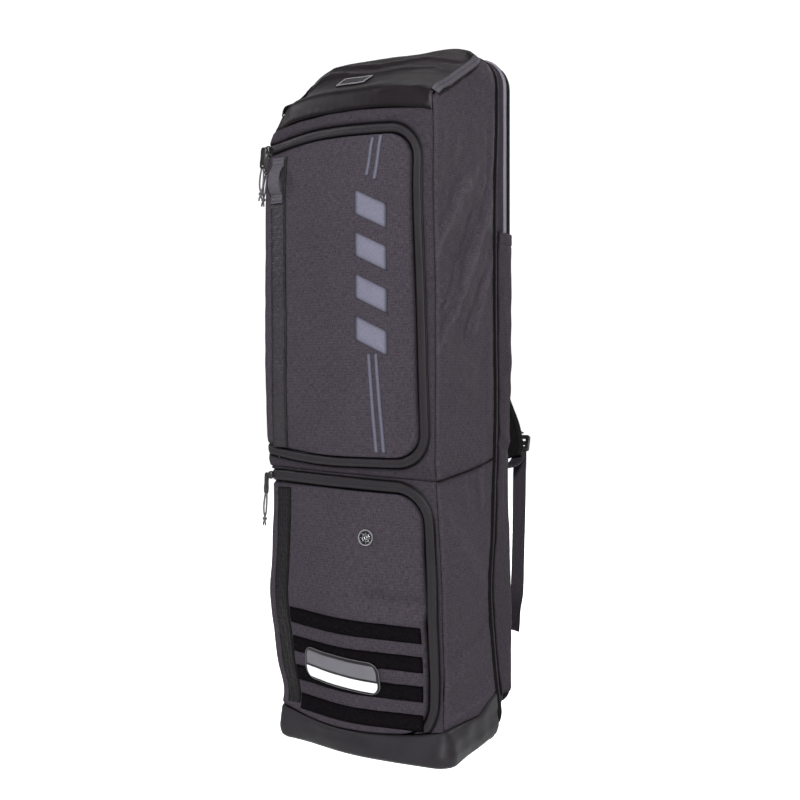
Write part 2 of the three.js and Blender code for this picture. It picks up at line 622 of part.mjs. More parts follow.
// Closed outline of the back ring in X and Z, set in by inset, with its foot at a height.
function ringOutline(foot, inset) {
  const arc = (x, z, radius, from) =>
    spaced(from, from + Math.PI / 2, 4).map((t) => [x + radius * Math.cos(t), z + radius * Math.sin(t)]);
  const half = RING.half - inset;
  const [top, bottom] = [RING.top - inset, foot + inset];
  const [upper, lower] = [RING.corner - inset, RING.footCorner - inset];
  const side = spaced(bottom + lower, top - upper, 13).slice(1, -1);
  const across = spaced(half - upper, upper - half, 5).slice(1, -1);
  return [
    ...arc(half - lower, bottom + lower, lower, -Math.PI / 2),
    ...side.map((z) => [half, z]),
    ...arc(half - upper, top - upper, upper, 0),
    ...across.map((x) => [x, top]),
    ...arc(upper - half, top - upper, upper, Math.PI / 2),
    ...side.toReversed().map((z) => [-half, z]),
    ...arc(lower - half, bottom + lower, lower, Math.PI),
    ...across.toReversed().map((x) => [x, bottom]),
  ];
}

// Where the body ends at the rear zip, for a height on the ring.
const rearLine = (z) => curveThrough(BODY, "z", "rear", Math.min(z, LID[LID.length - 1].edgeZ));

function makeRings() {
  const loopAt = (foot, inset, yFor) => ringOutline(foot, inset).map(([x, z]) => vec(x, yFor(z), z));
  const zipFrom = (z) => rearLine(z) + REAR_ZIP.clear;
  const zipTo = (z) => rearLine(z) + REAR_ZIP.width;
  const [out, into] = [REAR_ZIP.recess, REAR_ZIP.recess + WALL];
  const zip = [
    loopAt(FOOT.zip, out, zipFrom),
    loopAt(FOOT.zip, out, zipTo),
    loopAt(FOOT.zip, into, zipTo),
    loopAt(FOOT.zip, into, zipFrom),
  ];
  add("rear_zip", loft(zip, true), "zip_band");
  const start = (z) => zipTo(z) + GAP;
  const end = () => GUSSET_END;
  const gusset = [
    loopAt(FOOT.gusset, 0, start),
    loopAt(FOOT.panel, 0, end),
    loopAt(FOOT.panel, WALL, end),
    loopAt(FOOT.gusset, WALL, start),
  ];
  add("back_gusset", loft(gusset, true), "heather");
}

// Piping round the upper part of the back, then the padded panel that closes it, thick at its rim.
function makeBack() {
  const above = ringOutline(FOOT.panel, 0).filter(([, z]) => z > SLEEVE.top + RING.corner);
  const hem = SLEEVE.top + 2 * GAP;
  const path = [[RING.half, hem], ...above, [-RING.half, hem]];
  const round = RING.half - RING.corner;
  const loops = path.map(([x, z]) => {
    const centre = vec(THREE.MathUtils.clamp(x, -round, round), 0, Math.min(z, RING.top - RING.corner));
    const out = vec(x, 0, z).sub(centre).normalize();
    const place = (lift, y) => vec(x, y, z).addScaledVector(out, lift);
    return [
      place(PIPING.proud, PIPING.from + 1),
      place(PIPING.proud, PIPING.to - 1),
      place(0, PIPING.to),
      place(-PIPING.deep, PIPING.to),
      place(-PIPING.deep, PIPING.from),
      place(0, PIPING.from),
    ];
  });
  add("back_piping", loft(loops), "grey_webbing");

  const { front, back, round: edge, lip, rim, sunk } = PANEL;
  const profile = [
    { inset: rim + sunk, y: front + sunk },
    { inset: rim, y: front },
    { inset: lip, y: front },
    { inset: 0, y: front + lip },
    { inset: 0, y: back - edge },
    { inset: 0.3 * edge, y: back - 0.3 * edge },
    { inset: edge, y: back },
  ];
  const plates = profile.map(({ inset, y }) => ringOutline(FOOT.panel, inset).map(([x, z]) => vec(x, y, z)));
  add("back_panel", loft(plates), "mesh_padding");
}

// Lower sleeve: one cloth wall round the back's two sides and rear face, open above and below.
function makeSleeve() {
  const half = RING.half + SLEEVE.clear;
  const rear = PANEL.back + SLEEVE.clear;
  const row = (z, out) => {
    const radius = SLEEVE.corner + out;
    const front = rearLine(z) + SLEEVE.edge;
    const [x, y] = [half - SLEEVE.corner, rear - SLEEVE.corner];
    const arc = spaced(0, Math.PI / 2, 3).map((t) => [x + radius * Math.cos(t), y + radius * Math.sin(t)]);
    const right = [[half + out, front], ...arc];
    const left = right.map(([x, y]) => [-x, y]).toReversed();
    return [...right, [0, rear + out], ...left].map(([x, y]) => vec(x, y, z));
  };
  const levels = spaced(SLEEVE.bottom, SLEEVE.top, 9);
  const [outer, inner] = [SLEEVE.thick, 0].map((out) => levels.map((z) => row(z, out)));
  add("back_sleeve", wall(outer, inner), "heather");
}

// Corners of a flat section, plain or with its edges taken off.
function flatSection(half, thick, edge) {
  const deep = thick / 2;
  if (edge === 0) return [[half, -deep], [half, deep], [-half, deep], [-half, -deep]];
  const [rim, inner] = [deep - edge, half - edge];
  return [
    [half, -rim], [half, rim], [inner, deep], [-inner, deep],
    [-half, rim], [-half, -rim], [-inner, -deep], [inner, -deep],
  ];
}

// Solid along a route of places, with a flat section that may turn about the route.
function ribbon(route, thick, edge, widthAxis) {
  const points = route.map(({ x, y, z }) => vec(x, y, z));
  const loops = route.map(({ half, turn }, i) => {
    const before = points[Math.max(i - 1, 0)];
    const after = points[Math.min(i + 1, points.length - 1)];
    const along = after.clone().sub(before).normalize();
    const across = widthAxis.clone().addScaledVector(along, -widthAxis.dot(along)).normalize();
    const outward = across.clone().cross(along);
    across.applyAxisAngle(along, turn);
    outward.applyAxisAngle(along, turn);
    return flatSection(half, thick, edge).map(([c, d]) =>
      points[i].clone().addScaledVector(across, c).addScaledVector(outward, d),
    );
  });
  return loft(loops);
}

// Rows of a table in even steps of height, from its first row down to its last.
function finer(rows, steps) {
  const rising = rows.toReversed();
  const columns = Object.keys(rows[0]).filter((column) => column !== "z");
  return spaced(rows[0].z, rising[0].z, steps).map((z) => {
    const values = columns.map((column) => [column, curveThrough(rising, "z", column, z)]);
    return { z, ...Object.fromEntries(values) };
  });
}

// One side's route from the right-hand rows, as wide as webbing where the rows give no width.
const routeOn = (side, rows) =>
  rows.map(({ x, y, z, half = WEBBING.width / 2, turn = 0 }) => {
    return { x: side * x, y, z, half, turn: side * turn };
  });

function makeStraps() {
  const sideways = vec(1, 0, 0);
  const runs = {
    strap_webbing: ANCHOR_ROUTE,
    lock_tab: LOCK_TAB_ROUTE,
    webbing_tail: finer(TAIL_ROUTE, TAIL_STEPS),
  };
  for (const [name, side] of [["left", -1], ["right", 1]]) {
    const padded = routeOn(side, finer(STRAP, STRAP_STEPS));
    add(`shoulder_strap_${name}`, ribbon(padded, STRAP_THICK, STRAP_EDGE, sideways), "mesh_padding");
    for (const [run, rows] of Object.entries(runs)) {
      add(`${run}_${name}`, ribbon(routeOn(side, rows), WEBBING.thick, 0, sideways), "black_webbing");
    }
    addLock(name, side);
  }
}

// Ladder lock: a flat frame with one crossbar between two slots.
function addLock(name, side) {
  const { width, height, bar, thick } = LOCK;
  const outline = rectangle(width, height, 3);
  const slot = (height - 3 * bar) / 2;
  for (const level of [-1, 1]) {
    const hole = rectangle(width - 2 * bar, slot, 0.8);
    const shift = (level * (slot + bar)) / 2;
    outline.holes.push(new THREE.Path(hole.getPoints(1).map((p) => p.add(new THREE.Vector2(0, shift)))));
  }
  const geometry = plate(outline, thick);
  geometry.rotateX(Math.PI / 2 + LOCK.tilt);
  geometry.translate(side * LOCK.x, LOCK.y + thick / 2, LOCK.z);
  add(`ladder_lock_${name}`, geometry, "black_plastic");
}

// Flat plate of an outline.
function plate(outline, depth) {
  return new THREE.ExtrudeGeometry(outline, { depth, bevelEnabled: false, curveSegments: 2 });
}

// Rectangle about the origin with round corners.
function rectangle(width, height, radius) {
  const [x, y] = [width / 2, height / 2];
  const shape = new THREE.Shape();
  shape.moveTo(x, radius - y);
  shape.lineTo(x, y - radius);
  shape.absarc(x - radius, y - radius, radius, 0, Math.PI / 2);
  shape.lineTo(radius - x, y);
  shape.absarc(radius - x, y - radius, radius, Math.PI / 2, Math.PI);
  shape.lineTo(-x, radius - y);
  shape.absarc(radius - x, radius - y, radius, Math.PI, 1.5 * Math.PI);
  shape.lineTo(x - radius, -y);
  shape.absarc(x - radius, radius - y, radius, 1.5 * Math.PI, 2 * Math.PI);
  return shape;
}

// Places of a flat piece on a door, in rows and columns that may fall to the right.
function onDoor({ left, right, bottom, top, fall = 0 }, columns, rows) {
  return spaced(bottom, top, rows).map((z) => spaced(left, right, columns).map((a) => [a, z - fall * a]));
}

// The lower door narrows towards the boot, and so do the pieces on it.
const narrowed = (grid) => grid.map((row) => row.map(([a, z]) => [(a * section(z).half) / LOWER_SCALE, z]));

function makeDoorPieces() {
  const tapeLift = ON_CLOTH + TAPE_THICK;
  add("upper_tape", cloth(onDoor(UPPER_TAPE, 2, 10), tapeLift, TAPE_THICK), "coated");
  add("lower_tape", cloth(narrowed(onDoor(LOWER_TAPE, 2, 10)), tapeLift, TAPE_THICK), "coated");

  const { height, thick } = LOOP_STRIP;
  LOOP_STRIP_LEVELS.forEach((level, i) => {
    const strip = { ...LOOP_STRIP, bottom: level - height / 2, top: level + height / 2 };
    add(`loop_strip_${i + 1}`, cloth(narrowed(onDoor(strip, 8, 1)), ON_CLOTH + thick, thick), "loop_pile");
  });

  const rows = [-1, -0.8, -0.4, 0, 0.4, 0.8, 1].map((v) => {
    const pulledIn = PATCH.round * Math.max(0, Math.abs(v) - 0.4) ** 2 * 2;
    const half = PATCH.width / 2 - pulledIn;
    const level = PATCH.z + (v * PATCH.height) / 2;
    return spaced(-half, half, 6).map((c) => [PATCH.a + c, level + PATCH.tilt * c]);
  });
  const patchLift = ON_CLOTH + thick + ON_CLOTH + PATCH.thick;
  add("name_patch", cloth(rows, patchLift, PATCH.thick), "patch_cloth");
  makeGreyLoop();
  makeVent();
}

// Grey webbing sewn flat at both ends on the upper tape, with its middle standing off as a loop.
function makeGreyLoop() {
  const { a, width, bottom, low, high, top, rise, thick } = GREY_LOOP;
  const levels = [bottom, ...spaced(low, high, 8), top];
  const seat = ON_CLOTH + TAPE_THICK + GAP + thick;
  const grid = levels.map((z) => [a - width / 2, a + width / 2].map((place) => [place, z]));
  const swell = (share) => {
    const z = levels[Math.round(share * (levels.length - 1))];
    const t = THREE.MathUtils.clamp((z - low) / (high - low), 0, 1);
    return rise * Math.sin(Math.PI * t) ** 0.7;
  };
  add("webbing_loop", cloth(grid, seat, thick, swell), "grey_webbing");
}

// Round vent in the lower door: a turned rim with a thin grille disc.
function makeVent() {
  const { radius, hole, rim, grille } = VENT;
  const profile = [
    [0, 0], [radius, 0], [radius, rim * 0.5], [radius - 1, rim],
    [hole + 0.6, rim], [hole, grille], [0, grille],
  ];
  const geometry = new THREE.LatheGeometry(profile.map(([r, h]) => new THREE.Vector2(r, h)), 16);
  const outward = bodyNormal(VENT.a, VENT.z);
  geometry.applyQuaternion(new THREE.Quaternion().setFromUnitVectors(vec(0, 1, 0), outward));
  const seat = bodyPoint(VENT.a, VENT.z).addScaledVector(outward, GAP);
  geometry.translate(seat.x, seat.y, seat.z);
  add("vent_eyelet", geometry, "steel");
}

// Sliders, tabs and cord loops at the left corner
function makePulls() {
  for (const pull of PULLS) {
    const a = -(cornerSeam(pull.z) + pull.round);
    const outward = bodyNormal(a, pull.z).setZ(0).normalize();
    const across = vec(0, 0, 1).cross(outward);
    const frame = new THREE.Matrix4().makeBasis(across, vec(0, 0, 1), outward);
    const place = (geometry, lift) => {
      const p = bodyPoint(a, pull.z).addScaledVector(outward, lift);
      return geometry.applyMatrix4(frame.clone().setPosition(p));
    };
    const body = plate(rectangle(SLIDER.length, SLIDER.height, SLIDER.round), SLIDER.thick);
    add(`slider_${pull.name}`, place(body, pull.lift), "black_plastic");
    const room = (TAB.width * Math.sin(pull.facing) + TAB.thick * Math.cos(pull.facing)) / 2;
    const lift = pull.lift + SLIDER.thick + GAP + room;
    const hang = (geometry) => place(geometry.rotateZ(-pull.swing).rotateY(pull.facing), lift);
    const tab = plate(rectangle(TAB.width, TAB.length, TAB.round), TAB.thick);
    tab.translate(0, TAB.above - TAB.length / 2, -TAB.thick / 2);
    add(`pull_tab_${pull.name}`, hang(tab), "black_plastic");
    addPullCord(pull.name, hang);
  }
}

function addPullCord(name, hang) {
  const { diameter, drop, spread, knot, steps } = CORD;
  const top = TAB.above - TAB.length - GAP;
  const foot = top - drop;
  const leg = (side) =>
    CORD_LEG.map(({ down, aside, out }) => vec(side * aside * spread, top - down * drop, out));
  const route = [...leg(-1), ...leg(1).toReversed().slice(1)];
  const circle = new THREE.Shape();
  circle.absarc(0, 0, diameter / 2, 0, 2 * Math.PI);
  const extrudePath = new THREE.CatmullRomCurve3(route);
  const tube = new THREE.ExtrudeGeometry(circle, { steps, curveSegments: 4, extrudePath });
  add(`pull_cord_${name}`, hang(tube), "cord_grey");
  const ball = new THREE.SphereGeometry(knot, 8, 6);
  ball.scale(0.9, 1.15, 0.9);
  ball.translate(0, foot - diameter / 2 - knot * 1.15 - GAP, 1);
  add(`pull_knot_${name}`, hang(ball), "cord_grey");
}

makeLid();
makeUpperFront();
makeLowerFront();
makeSides();
makeBoot();
makeRings();
makeBack();
makeSleeve();
makeDoorPieces();
makePulls();
makeStraps();

export default group;
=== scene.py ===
from math import hypot, pi, radians
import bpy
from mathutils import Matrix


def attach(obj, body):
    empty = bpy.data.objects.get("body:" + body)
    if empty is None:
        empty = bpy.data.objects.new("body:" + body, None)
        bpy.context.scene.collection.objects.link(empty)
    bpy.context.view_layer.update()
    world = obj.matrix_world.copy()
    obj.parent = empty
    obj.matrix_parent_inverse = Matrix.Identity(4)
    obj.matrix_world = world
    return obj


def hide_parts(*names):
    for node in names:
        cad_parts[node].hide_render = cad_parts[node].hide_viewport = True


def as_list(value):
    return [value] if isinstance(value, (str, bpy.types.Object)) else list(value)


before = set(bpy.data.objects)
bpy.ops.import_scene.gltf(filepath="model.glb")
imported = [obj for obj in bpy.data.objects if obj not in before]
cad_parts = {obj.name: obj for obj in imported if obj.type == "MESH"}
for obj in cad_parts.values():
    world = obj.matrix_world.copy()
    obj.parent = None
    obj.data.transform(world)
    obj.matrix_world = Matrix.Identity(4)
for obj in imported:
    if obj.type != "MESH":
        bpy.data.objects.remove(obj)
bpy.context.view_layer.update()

from types import SimpleNamespace as Sizes

import bmesh
import bpy
import numpy as np
from mathutils import Matrix, Vector

# Sizes are in millimetres, in the frame of the CAD part; meshes are made in metres
MM = 0.001
SEED = 7
SIDES = {"left": -1, "right": 1}

# Light that falls on the bag, as a share of the white behind it
STUDIO = 3.35
BACKDROP = Sizes(air=0.08, white=1.08, start=0.68, stop=0.86)
LIGHTS = [
    # name, place and size in metres, power in watts
    ("key", (1.9, -2.7, 1.95), 0.6, 330),
    ("rake", (-2.6, -1.4, 2.6), 0.7, 90),
    ("top", (-0.4, 0.6, 3.0), 1.0, 10),
    ("back", (0.2, 3.0, 1.6), 1.6, 120),
]
LIT_PLACE = Vector((0, 0, 0.5))
FLOOR = Sizes(reach=60.0, around=96, glow=0.9, start=-900, stop=-300, dark=0.56, light=0.6)

# Camera at the photograph's angle: level, a little right of the front
CAMERA = Sizes(place=(917.1, -1471.2, 515.1), azimuth=radians(31.5), lens=52.42, sensor=36, shift=-0.0125)

# Cloth, webbing and the gaps that sewn pieces keep
WALL = 2.0
GAP = 0.3
ON_CLOTH = 0.8
TAPE_THICK = 1.2
WEBBING = Sizes(width=20, thick=1.6, edge=0.45)
# Seam groove depth and width, the reach of the painted shade along seams, and its faint share on edges that
# are not dark edges
SEAM = Sizes(deep=3.4, wide=4.6, shade=2.3, faint=0.3)
NARROWEST = 10.0
# Painted highlight along fold crests: its width, the fold height where it is full, its strength and its gain
# on the lid
CREST_HIGHLIGHT = Sizes(thin=0.5, full=4.0, light=0.34, on_lid=4)
PUCKER = Sizes(high=0.35, long=11, reach=9)


def table(columns, rows):
    """Columns of a table by name."""
    return dict(zip(columns.split(), np.array(rows, float).T))


# Body: a row for each height, as in the CAD part but with a fuller crown on the lower front
BODY = table("z half front rear crown bulge", [
    (0, 137, -83, 63, 18, 0),
    (5, 142, -88, 66, 19, 0),
    (16, 144, -90, 69, 20, 0),
    (40, 142.5, -88, 65, 21, 0),
    (66, 140, -86, 58, 22, 0),
    (121, 146, -94, 46, 23, 2),
    (225, 150, -107, 32, 20, 2),
    (310, 145.5, -106, 40, 13, 1),
    (375, 142.5, -109, 44, 7, 0),
    (395, 142, -110, 45, 7, 0),
    (415, 144, -116, 47, 8, 0),
    (500, 147, -120, 50, 9, 1),
    (640, 147.5, -121, 47, 9, 1),
    (775, 146, -124, 47, 8, 1),
    (864, 142.5, -118, 51, 8, 1),
    (892, 141.5, -117, 53, 8, 0),
    (917, 139.5, -116, 54, 8, 0),
    (950, 137.5, -116, 54, 8, 0),
    (976, 134, -116, 51.5, 8, 0),
    (997, 129, -116, 46, 8, 0),
    (1010, 124, -116, 42, 8, 0),
])
CORNER = 12
QUARTER = CORNER * pi / 2

# Lid: a row for each line across it, from its front lower edge over the ridge to the rear zip
LID = table("v edge_y edge_z mid_y mid_z", [
    (0, -113, 892.6, -126, 905),
    (0.12, -110, 917, -121, 931),
    (0.3, -77.4, 936.5, -88.2, 951),
    (0.68, -8.6, 977.5, -18.8, 993),
    (0.86, 24, 997, 14, 1013),
    (0.93, 36, 999, 30, 1015.5),
    (1, 45, 996, 45, 1011),
])
LID_SHOULDER = 2.6
LID_SIZE = np.array([134, 210])
LID_LIP = Sizes(inset=0.022, start=0.12, stop=0.2)
HIP_STRIP = Sizes(width=14, thick=1.6, start=0.13, stop=0.85, clear=0.7, tuck=2.6, end=0.06, drop=3.3)
HIP_FACING = np.array([0.72, 0, 0.69])
BADGE = Sizes(x=-14, width=46, length=30, thick=1.2, at=0.37, rim=1.1)

# Seams and doors
WAIST = Sizes(height=397, fall=6, rear_rise=24)
BOOT = Sizes(front=34, corner=48, rear=72, lip=20, wall=2.5, floor=12, clear=0.9)
BOOT_FLARE = Sizes(out=15, middle=105, reach=80, rear_rise=6, rear=(220, 300))
LEFT_WRAP = Sizes(round=18, low=867.5, high=892.6, clear=0.8)
FRAME_CROWDING = 0.6
FRAME_COLUMNS = np.linspace(0, 1, 13)
FRAME_LIMIT, FOOT_LIMIT = radians(43.6), radians(68)
TURNS = np.linspace(0, pi / 2, 15)
FOOT_TURNS = np.concatenate([np.linspace(0, FRAME_LIMIT, 9), np.linspace(FRAME_LIMIT, FOOT_LIMIT, 6)[1:]])
UPPER_DOOR = Sizes(right=129, bottom=406, top=885, corner=52, zip=16, turns=TURNS, levels=96)
UPPER_ARCH = Sizes(peak=-30, reach=110, left=12, right=3, bottom_rise=18, slant=0.0274, level=637)
LOWER_DOOR = Sizes(right=138, bottom=18, top=393, corner=58, zip=18, turns=FOOT_TURNS, levels=70)
LOWER_SCALE = 148
DOOR_COLUMNS = Sizes(corner=10, join=4, across=72)
ZIP_COLUMNS = Sizes(all=29, middle=14, stitched=23)

# Pieces on the doors
UPPER_TAPE = Sizes(left=-129, right=-102, bottom=432, top=852)
LOWER_TAPE = Sizes(left=-132, right=-107, bottom=56, top=374)
TAPE_GRID = Sizes(columns=22, row=2.2, stitched=(2, 19), pattern=9)
GREY_LOOP = Sizes(a=-116, width=20, bottom=785, low=797, high=838, top=851, rise=9, thick=1.6)
GREY_LOOP_STITCHES = Sizes(levels=(788, 794, 841.5, 847.5), reach=8.5)
LOOP_STRIP = Sizes(left=-104, right=113, height=22, thick=2, tufts=2400, margin=1.6)
LOOP_STRIP_LEVELS = [(185, 0.04), (143, 0.033), (100.5, 0.027), (58, 0.02)]
PATCH = Sizes(a=-13, z=120, width=128, height=46, round=16, tilt=-0.09, thick=2.4)
PATCH_PARTS = [
    # name and finish, inset, lower and upper share of the height, rows, lift, thickness, replaced nodes
    ("patch_rubber", "patch_edge", 0, -1, 1, 34, 0, PATCH.thick, ["name_patch"]),
    ("patch_field", "patch_field", 4.0, -0.1, 0.82, 20, 0.5, 0.8, []),
    ("patch_band", "patch_band", 3.0, -0.88, -0.18, 20, 0.4, 0.7, []),
]
PRINT_BARS = Sizes(left=22, right=72, height=34, lean=24, levels=(776, 718, 660, 602))
PRINT_STRIPES = [
    # places of the four corners, from the lower left round
    ((37, 810), (43, 810), (50, 864), (44, 864)),
    ((49, 804), (55.5, 804), (63, 866), (56.5, 866)),
    ((50, 428), (56.5, 428), (46, 566), (39.5, 566)),
    ((61, 428), (67.5, 428), (57, 566), (50.5, 566)),
]
VENT = Sizes(a=32, z=310, radius=11.5, hole=8.5, rim=2.4, spokes=8, rings=(2.4, 5.4), wire=0.5, level=1.1)

# Back
RING = Sizes(half=147, top=1009, corner=46, foot_corner=24, arc=10, side=90, across=40, sharpest=0.6)
REAR_ZIP = Sizes(width=9, recess=1.8, clear=0.1)
FOOT = Sizes(zip=14, gusset=16, panel=46)
GUSSET = Sizes(end=80, sag=1.6, hem=0.08)
PIPING = Sizes(front=80.3, back=86, proud=2.1, deep=3)
PANEL = Sizes(front=86.3, back=103, round=4, lip=2, rim=9, inset=22, middle=142)
LUMBAR = Sizes(z=385, tall=120, deep=11, front=(62, 98), rear=(106, 140))
SLACK_CORNER = Sizes(deep=20, rise=(872, 922), near=(-75, 5), across=(85, 138))
SLEEVE = Sizes(top=747, bottom=66, edge=11, corner=4, clear=0.4, thick=1.4, hem=17, groove=0.6,
               stitched=(8, 12))
SLEEVE_FOLDS = [(60, 452, 104, 436, 1.8, 6), (60, 434, 100, 425, -1.4, 6)]

# Right shoulder strap, its webbing and lock, which the left ones mirror
STRAP = table("z x y half", [
    (411, 121, 152, 18),
    (428, 116, 156, 25),
    (455, 107, 156, 28),
    (503, 90, 151, 29),
    (600, 68, 150, 31),
    (700, 54, 139, 32),
    (780, 47, 122, 33),
    (835, 46, 108.7, 33),
    (862, 46, 107.9, 31),
])
STRAP_THICK = 9
STRAP_POWERS = Sizes(wide=0.32, deep=0.6)
BINDING = Sizes(turn=0.62 * pi, reach=4.2, over=1.1, thick=1.0)
LOCK = Sizes(x=128, y=173, z=432, width=32, height=24, thick=4.5, bar=5, tilt=-0.25)
WEBBING_ROUTES = [
    # name, replaced node, places
    ("anchor", "strap_webbing", [
        (134, 105.2, 399), (134, 122, 399.5), (132, 142, 402), (130, 158, 407),
        (129, 166, 413), (128.4, 169.8, 419.2),
    ]),
    ("tab", "lock_tab", [
        (110, 161.9, 472), (114, 162.3, 460), (119, 165.5, 453), (124, 171.5, 449), (127.3, 176.2, 446.2),
    ]),
]
TAIL = table("z x y turn", [
    (140, 122, 170, 0.5),
    (175, 123, 171, 0.35),
    (205, 124.5, 171.5, -0.35),
    (250, 125.5, 172, -0.75),
    (320, 126.5, 173.5, -0.7),
    (380, 126.5, 175.5, -0.5),
    (410, 127.5, 176, -0.2),
    (428, 128, 175, 0),
])

# Zip sliders with their pull tabs and cord loops
SLIDER = Sizes(length=12, height=9, thick=5, round=2)
TAB = Sizes(width=8, length=30, thick=2.4, above=3, grips=4)
CORD = Sizes(diameter=2.6, drop=34, spread=4.2, knot=4, braid=0.1)
CORD_LEG = [
    # share of the drop, share of the spread, distance out
    (0, 0.35, 0), (0.25, 0.6, 0.5), (0.55, 0.7, 1), (0.85, 0.5, 1), (1, 0, 1),
]
PULLS = [
    Sizes(name="upper_front", round=-2, z=866, swing=0.06, lift=0.3, facing=0.85),
    Sizes(name="upper_side", round=15, z=862, swing=0.16, lift=-0.4, facing=1.3),
    Sizes(name="lower", round=3, z=390, swing=0.05, lift=0.3, facing=0.85),
]

# Folds: ends of each line, height (ridge above 0, hollow below) and width
SIDE_FOLDS = [
    # y0, z0, y1, z1, height, width
    (44, 910, 36, 783, 2.3, 6),
    (36, 783, -21, 695, 5.2, 7.6),
    (-21, 695, -76, 611, 4.6, 7.6),
    (-76, 611, -123, 559, 2.3, 8.5),
    (-36, 804, -117, 698, 3.2, 9.3),
    (44, 704, -12, 604, 3.5, 7.6),
    (35, 548, 33, 482, 1.7, 5.1),
    (-133, 608, -93, 633, -2.3, 5.1),
    (-2, 932, 4, 914, -2, 4.2),
    (-20, 760, -80, 660, -3.2, 13.6),
    (30, 690, -40, 590, -2.9, 11.9),
    (10, 401, 19, 352, 1.9, 5.1),
    (-30, 388, -26, 350, 1.2, 5.1),
    (-90, 139, 29, 173, -4.1, 13.6),
    (-84, 111, -50, 123, 2, 6),
    (-64, 62, 38, 74, 2, 6.8),
    (-70, 330, 10, 250, 1.7, 18.7),
]
LEFT_FOLDS_LOWER = 35
LOWER_FOLDS = [
    (40, 226, 122, 217, -8.0, 13),
    (62, 208, 126, 200, 3.5, 8),
    (-60, 214, 40, 226, -1.2, 16),
    (-70, 372, 60, 366, 1.0, 10),
    (70, 350, 112, 300, 1.0, 14),
]
UPPER_FOLDS = [
    (-70, 845, 60, 850, 1.0, 12),
    (-60, 440, 80, 432, 0.9, 11),
    (60, 470, 95, 520, -0.9, 16),
    (-80, 700, 20, 640, 0.7, 26),
]
FRAME_FOLDS = [
    (-110, 889, 110, 893, 1.5, 5),
    (-90, 402, 90, 397, 0.7, 4),
    (-50, 412, -20, 399, 0.6, 4),
    (20, 401, 60, 396, 0.6, 4),
    (112, 873, 140, 866, -1.6, 3),
    (116, 882, 140, 877, 1.2, 3),
    (124, 862, 141, 854, 1.0, 3),
]
LID_FOLDS = [
    # across (mm), up (mm) over the lid
    (-90, 160, -50, 152, 2.0, 7),
    (-50, 152, -3, 145, 3.2, 6),
    (-3, 145, 65, 150, 3.4, 6),
    (65, 150, 119, 142, 2.8, 6),
    (-126, 96, -76, 127, 2.6, 6),
    (-76, 127, 3, 103, 2.8, 6),
    (3, 103, 50, 111, 2.8, 6),
    (50, 111, 92, 113, 2.6, 6),
    (92, 113, 123, 103, 1.8, 5),
    (60, 25, 98, 31, 1.4, 6),
    (98, 31, 128, 44, 1.4, 6),
    (-60, 140, 90, 132, -1.6, 9),
]
LID_SWELL = [
    # across, up, height, half width and half length of each soft swelling
    (-98, 152, 10, 58, 56),
    (104, 188, 7, 44, 32),
]


# Numbers, lines and grids
def lerp(first, last, t):
    return first + (last - first) * t


def smoothstep(x, low, high):
    t = np.clip((np.asarray(x, float) - low) / (high - low), 0, 1)
    return t * t * (3 - 2 * t)


def bell(x, width, power=2):
    """1 in the middle, falling away on both sides."""
    return np.exp(-np.abs(x / width) ** power)


def near_edge(away, width):
    """1 at an edge, falling to 0 at a distance from it."""
    return (1 - np.clip(away / width, 0, 1)) ** 2


def unit(v):
    v = np.asarray(v, float)
    return v / np.linalg.norm(v, axis=-1, keepdims=True)


def grid(*parts):
    """Numbers of each place side by side, from arrays of shapes that fit together."""
    return np.stack(np.broadcast_arrays(*parts), -1)


def split(places):
    """The two numbers of each place."""
    return places[..., 0], places[..., 1]


def raised(points, directions, lift):
    """Points moved along directions."""
    return points + directions * np.asarray(lift)[..., None]


def between(first, second, shares):
    """Grid of places from one line to another."""
    return lerp(first[:, None], second[:, None], np.asarray(shares)[:, None])


def lengths(line):
    """Length along a line from its start to each of its points."""
    return np.concatenate([[0], np.linalg.norm(np.diff(line, axis=0), axis=1).cumsum()])


def sample(line, step, at):
    """Points of a line, or directions along it, at lengths from its start."""
    return np.stack([np.interp(at, step, column) for column in line.T], 1)


def smooth_line(points, count):
    """Points in even steps along a smooth curve through a few places."""
    points = np.asarray(points, float)
    knots = np.concatenate([[0], np.sqrt(np.linalg.norm(np.diff(points, axis=0), axis=1)).cumsum()])
    ends = np.concatenate([[2 * points[0] - points[1]], points, [2 * points[-1] - points[-2]]])
    marks = np.concatenate([[2 * knots[0] - knots[1]], knots, [2 * knots[-1] - knots[-2]]])
    at = np.linspace(knots[0], knots[-1], count * 4)
    i = np.clip(np.searchsorted(knots, at, side="right") - 1, 0, len(points) - 2)

    def mix(first, last, start, stop):
        share = (at - marks[i + start]) / (marks[i + stop] - marks[i + start])
        return lerp(first, last, share[:, None])

    a1, a2, a3 = (mix(ends[i + k], ends[i + k + 1], k, k + 1) for k in range(3))
    fine = mix(mix(a1, a2, 0, 2), mix(a2, a3, 1, 3), 1, 2)
    step = lengths(fine)
    return sample(fine, step, np.linspace(0, step[-1], count))


def curve_through(tab, key, column, value):
    """Smooth curve through one column of a table, at the place where key has a value."""
    xs, ys = tab[key], tab[column]
    value = np.asarray(value, float)
    rise = np.diff(ys) / np.diff(xs)
    both = rise[:-1] * rise[1:]
    middle = np.where(both > 0, 2 * both / np.where(both > 0, rise[:-1] + rise[1:], 1), 0)
    slope = np.concatenate([rise[:1], middle, rise[-1:]])
    i = np.minimum(np.searchsorted(xs[1:], value, side="left"), len(xs) - 2)
    span = xs[i + 1] - xs[i]
    t = np.clip((value - xs[i]) / span, 0, 1)
    start = (2 * t**3 - 3 * t**2 + 1) * ys[i] + (t**3 - 2 * t**2 + t) * span * slope[i]
    return start + (3 * t**2 - 2 * t**3) * ys[i + 1] + (t**3 - t**2) * span * slope[i + 1]


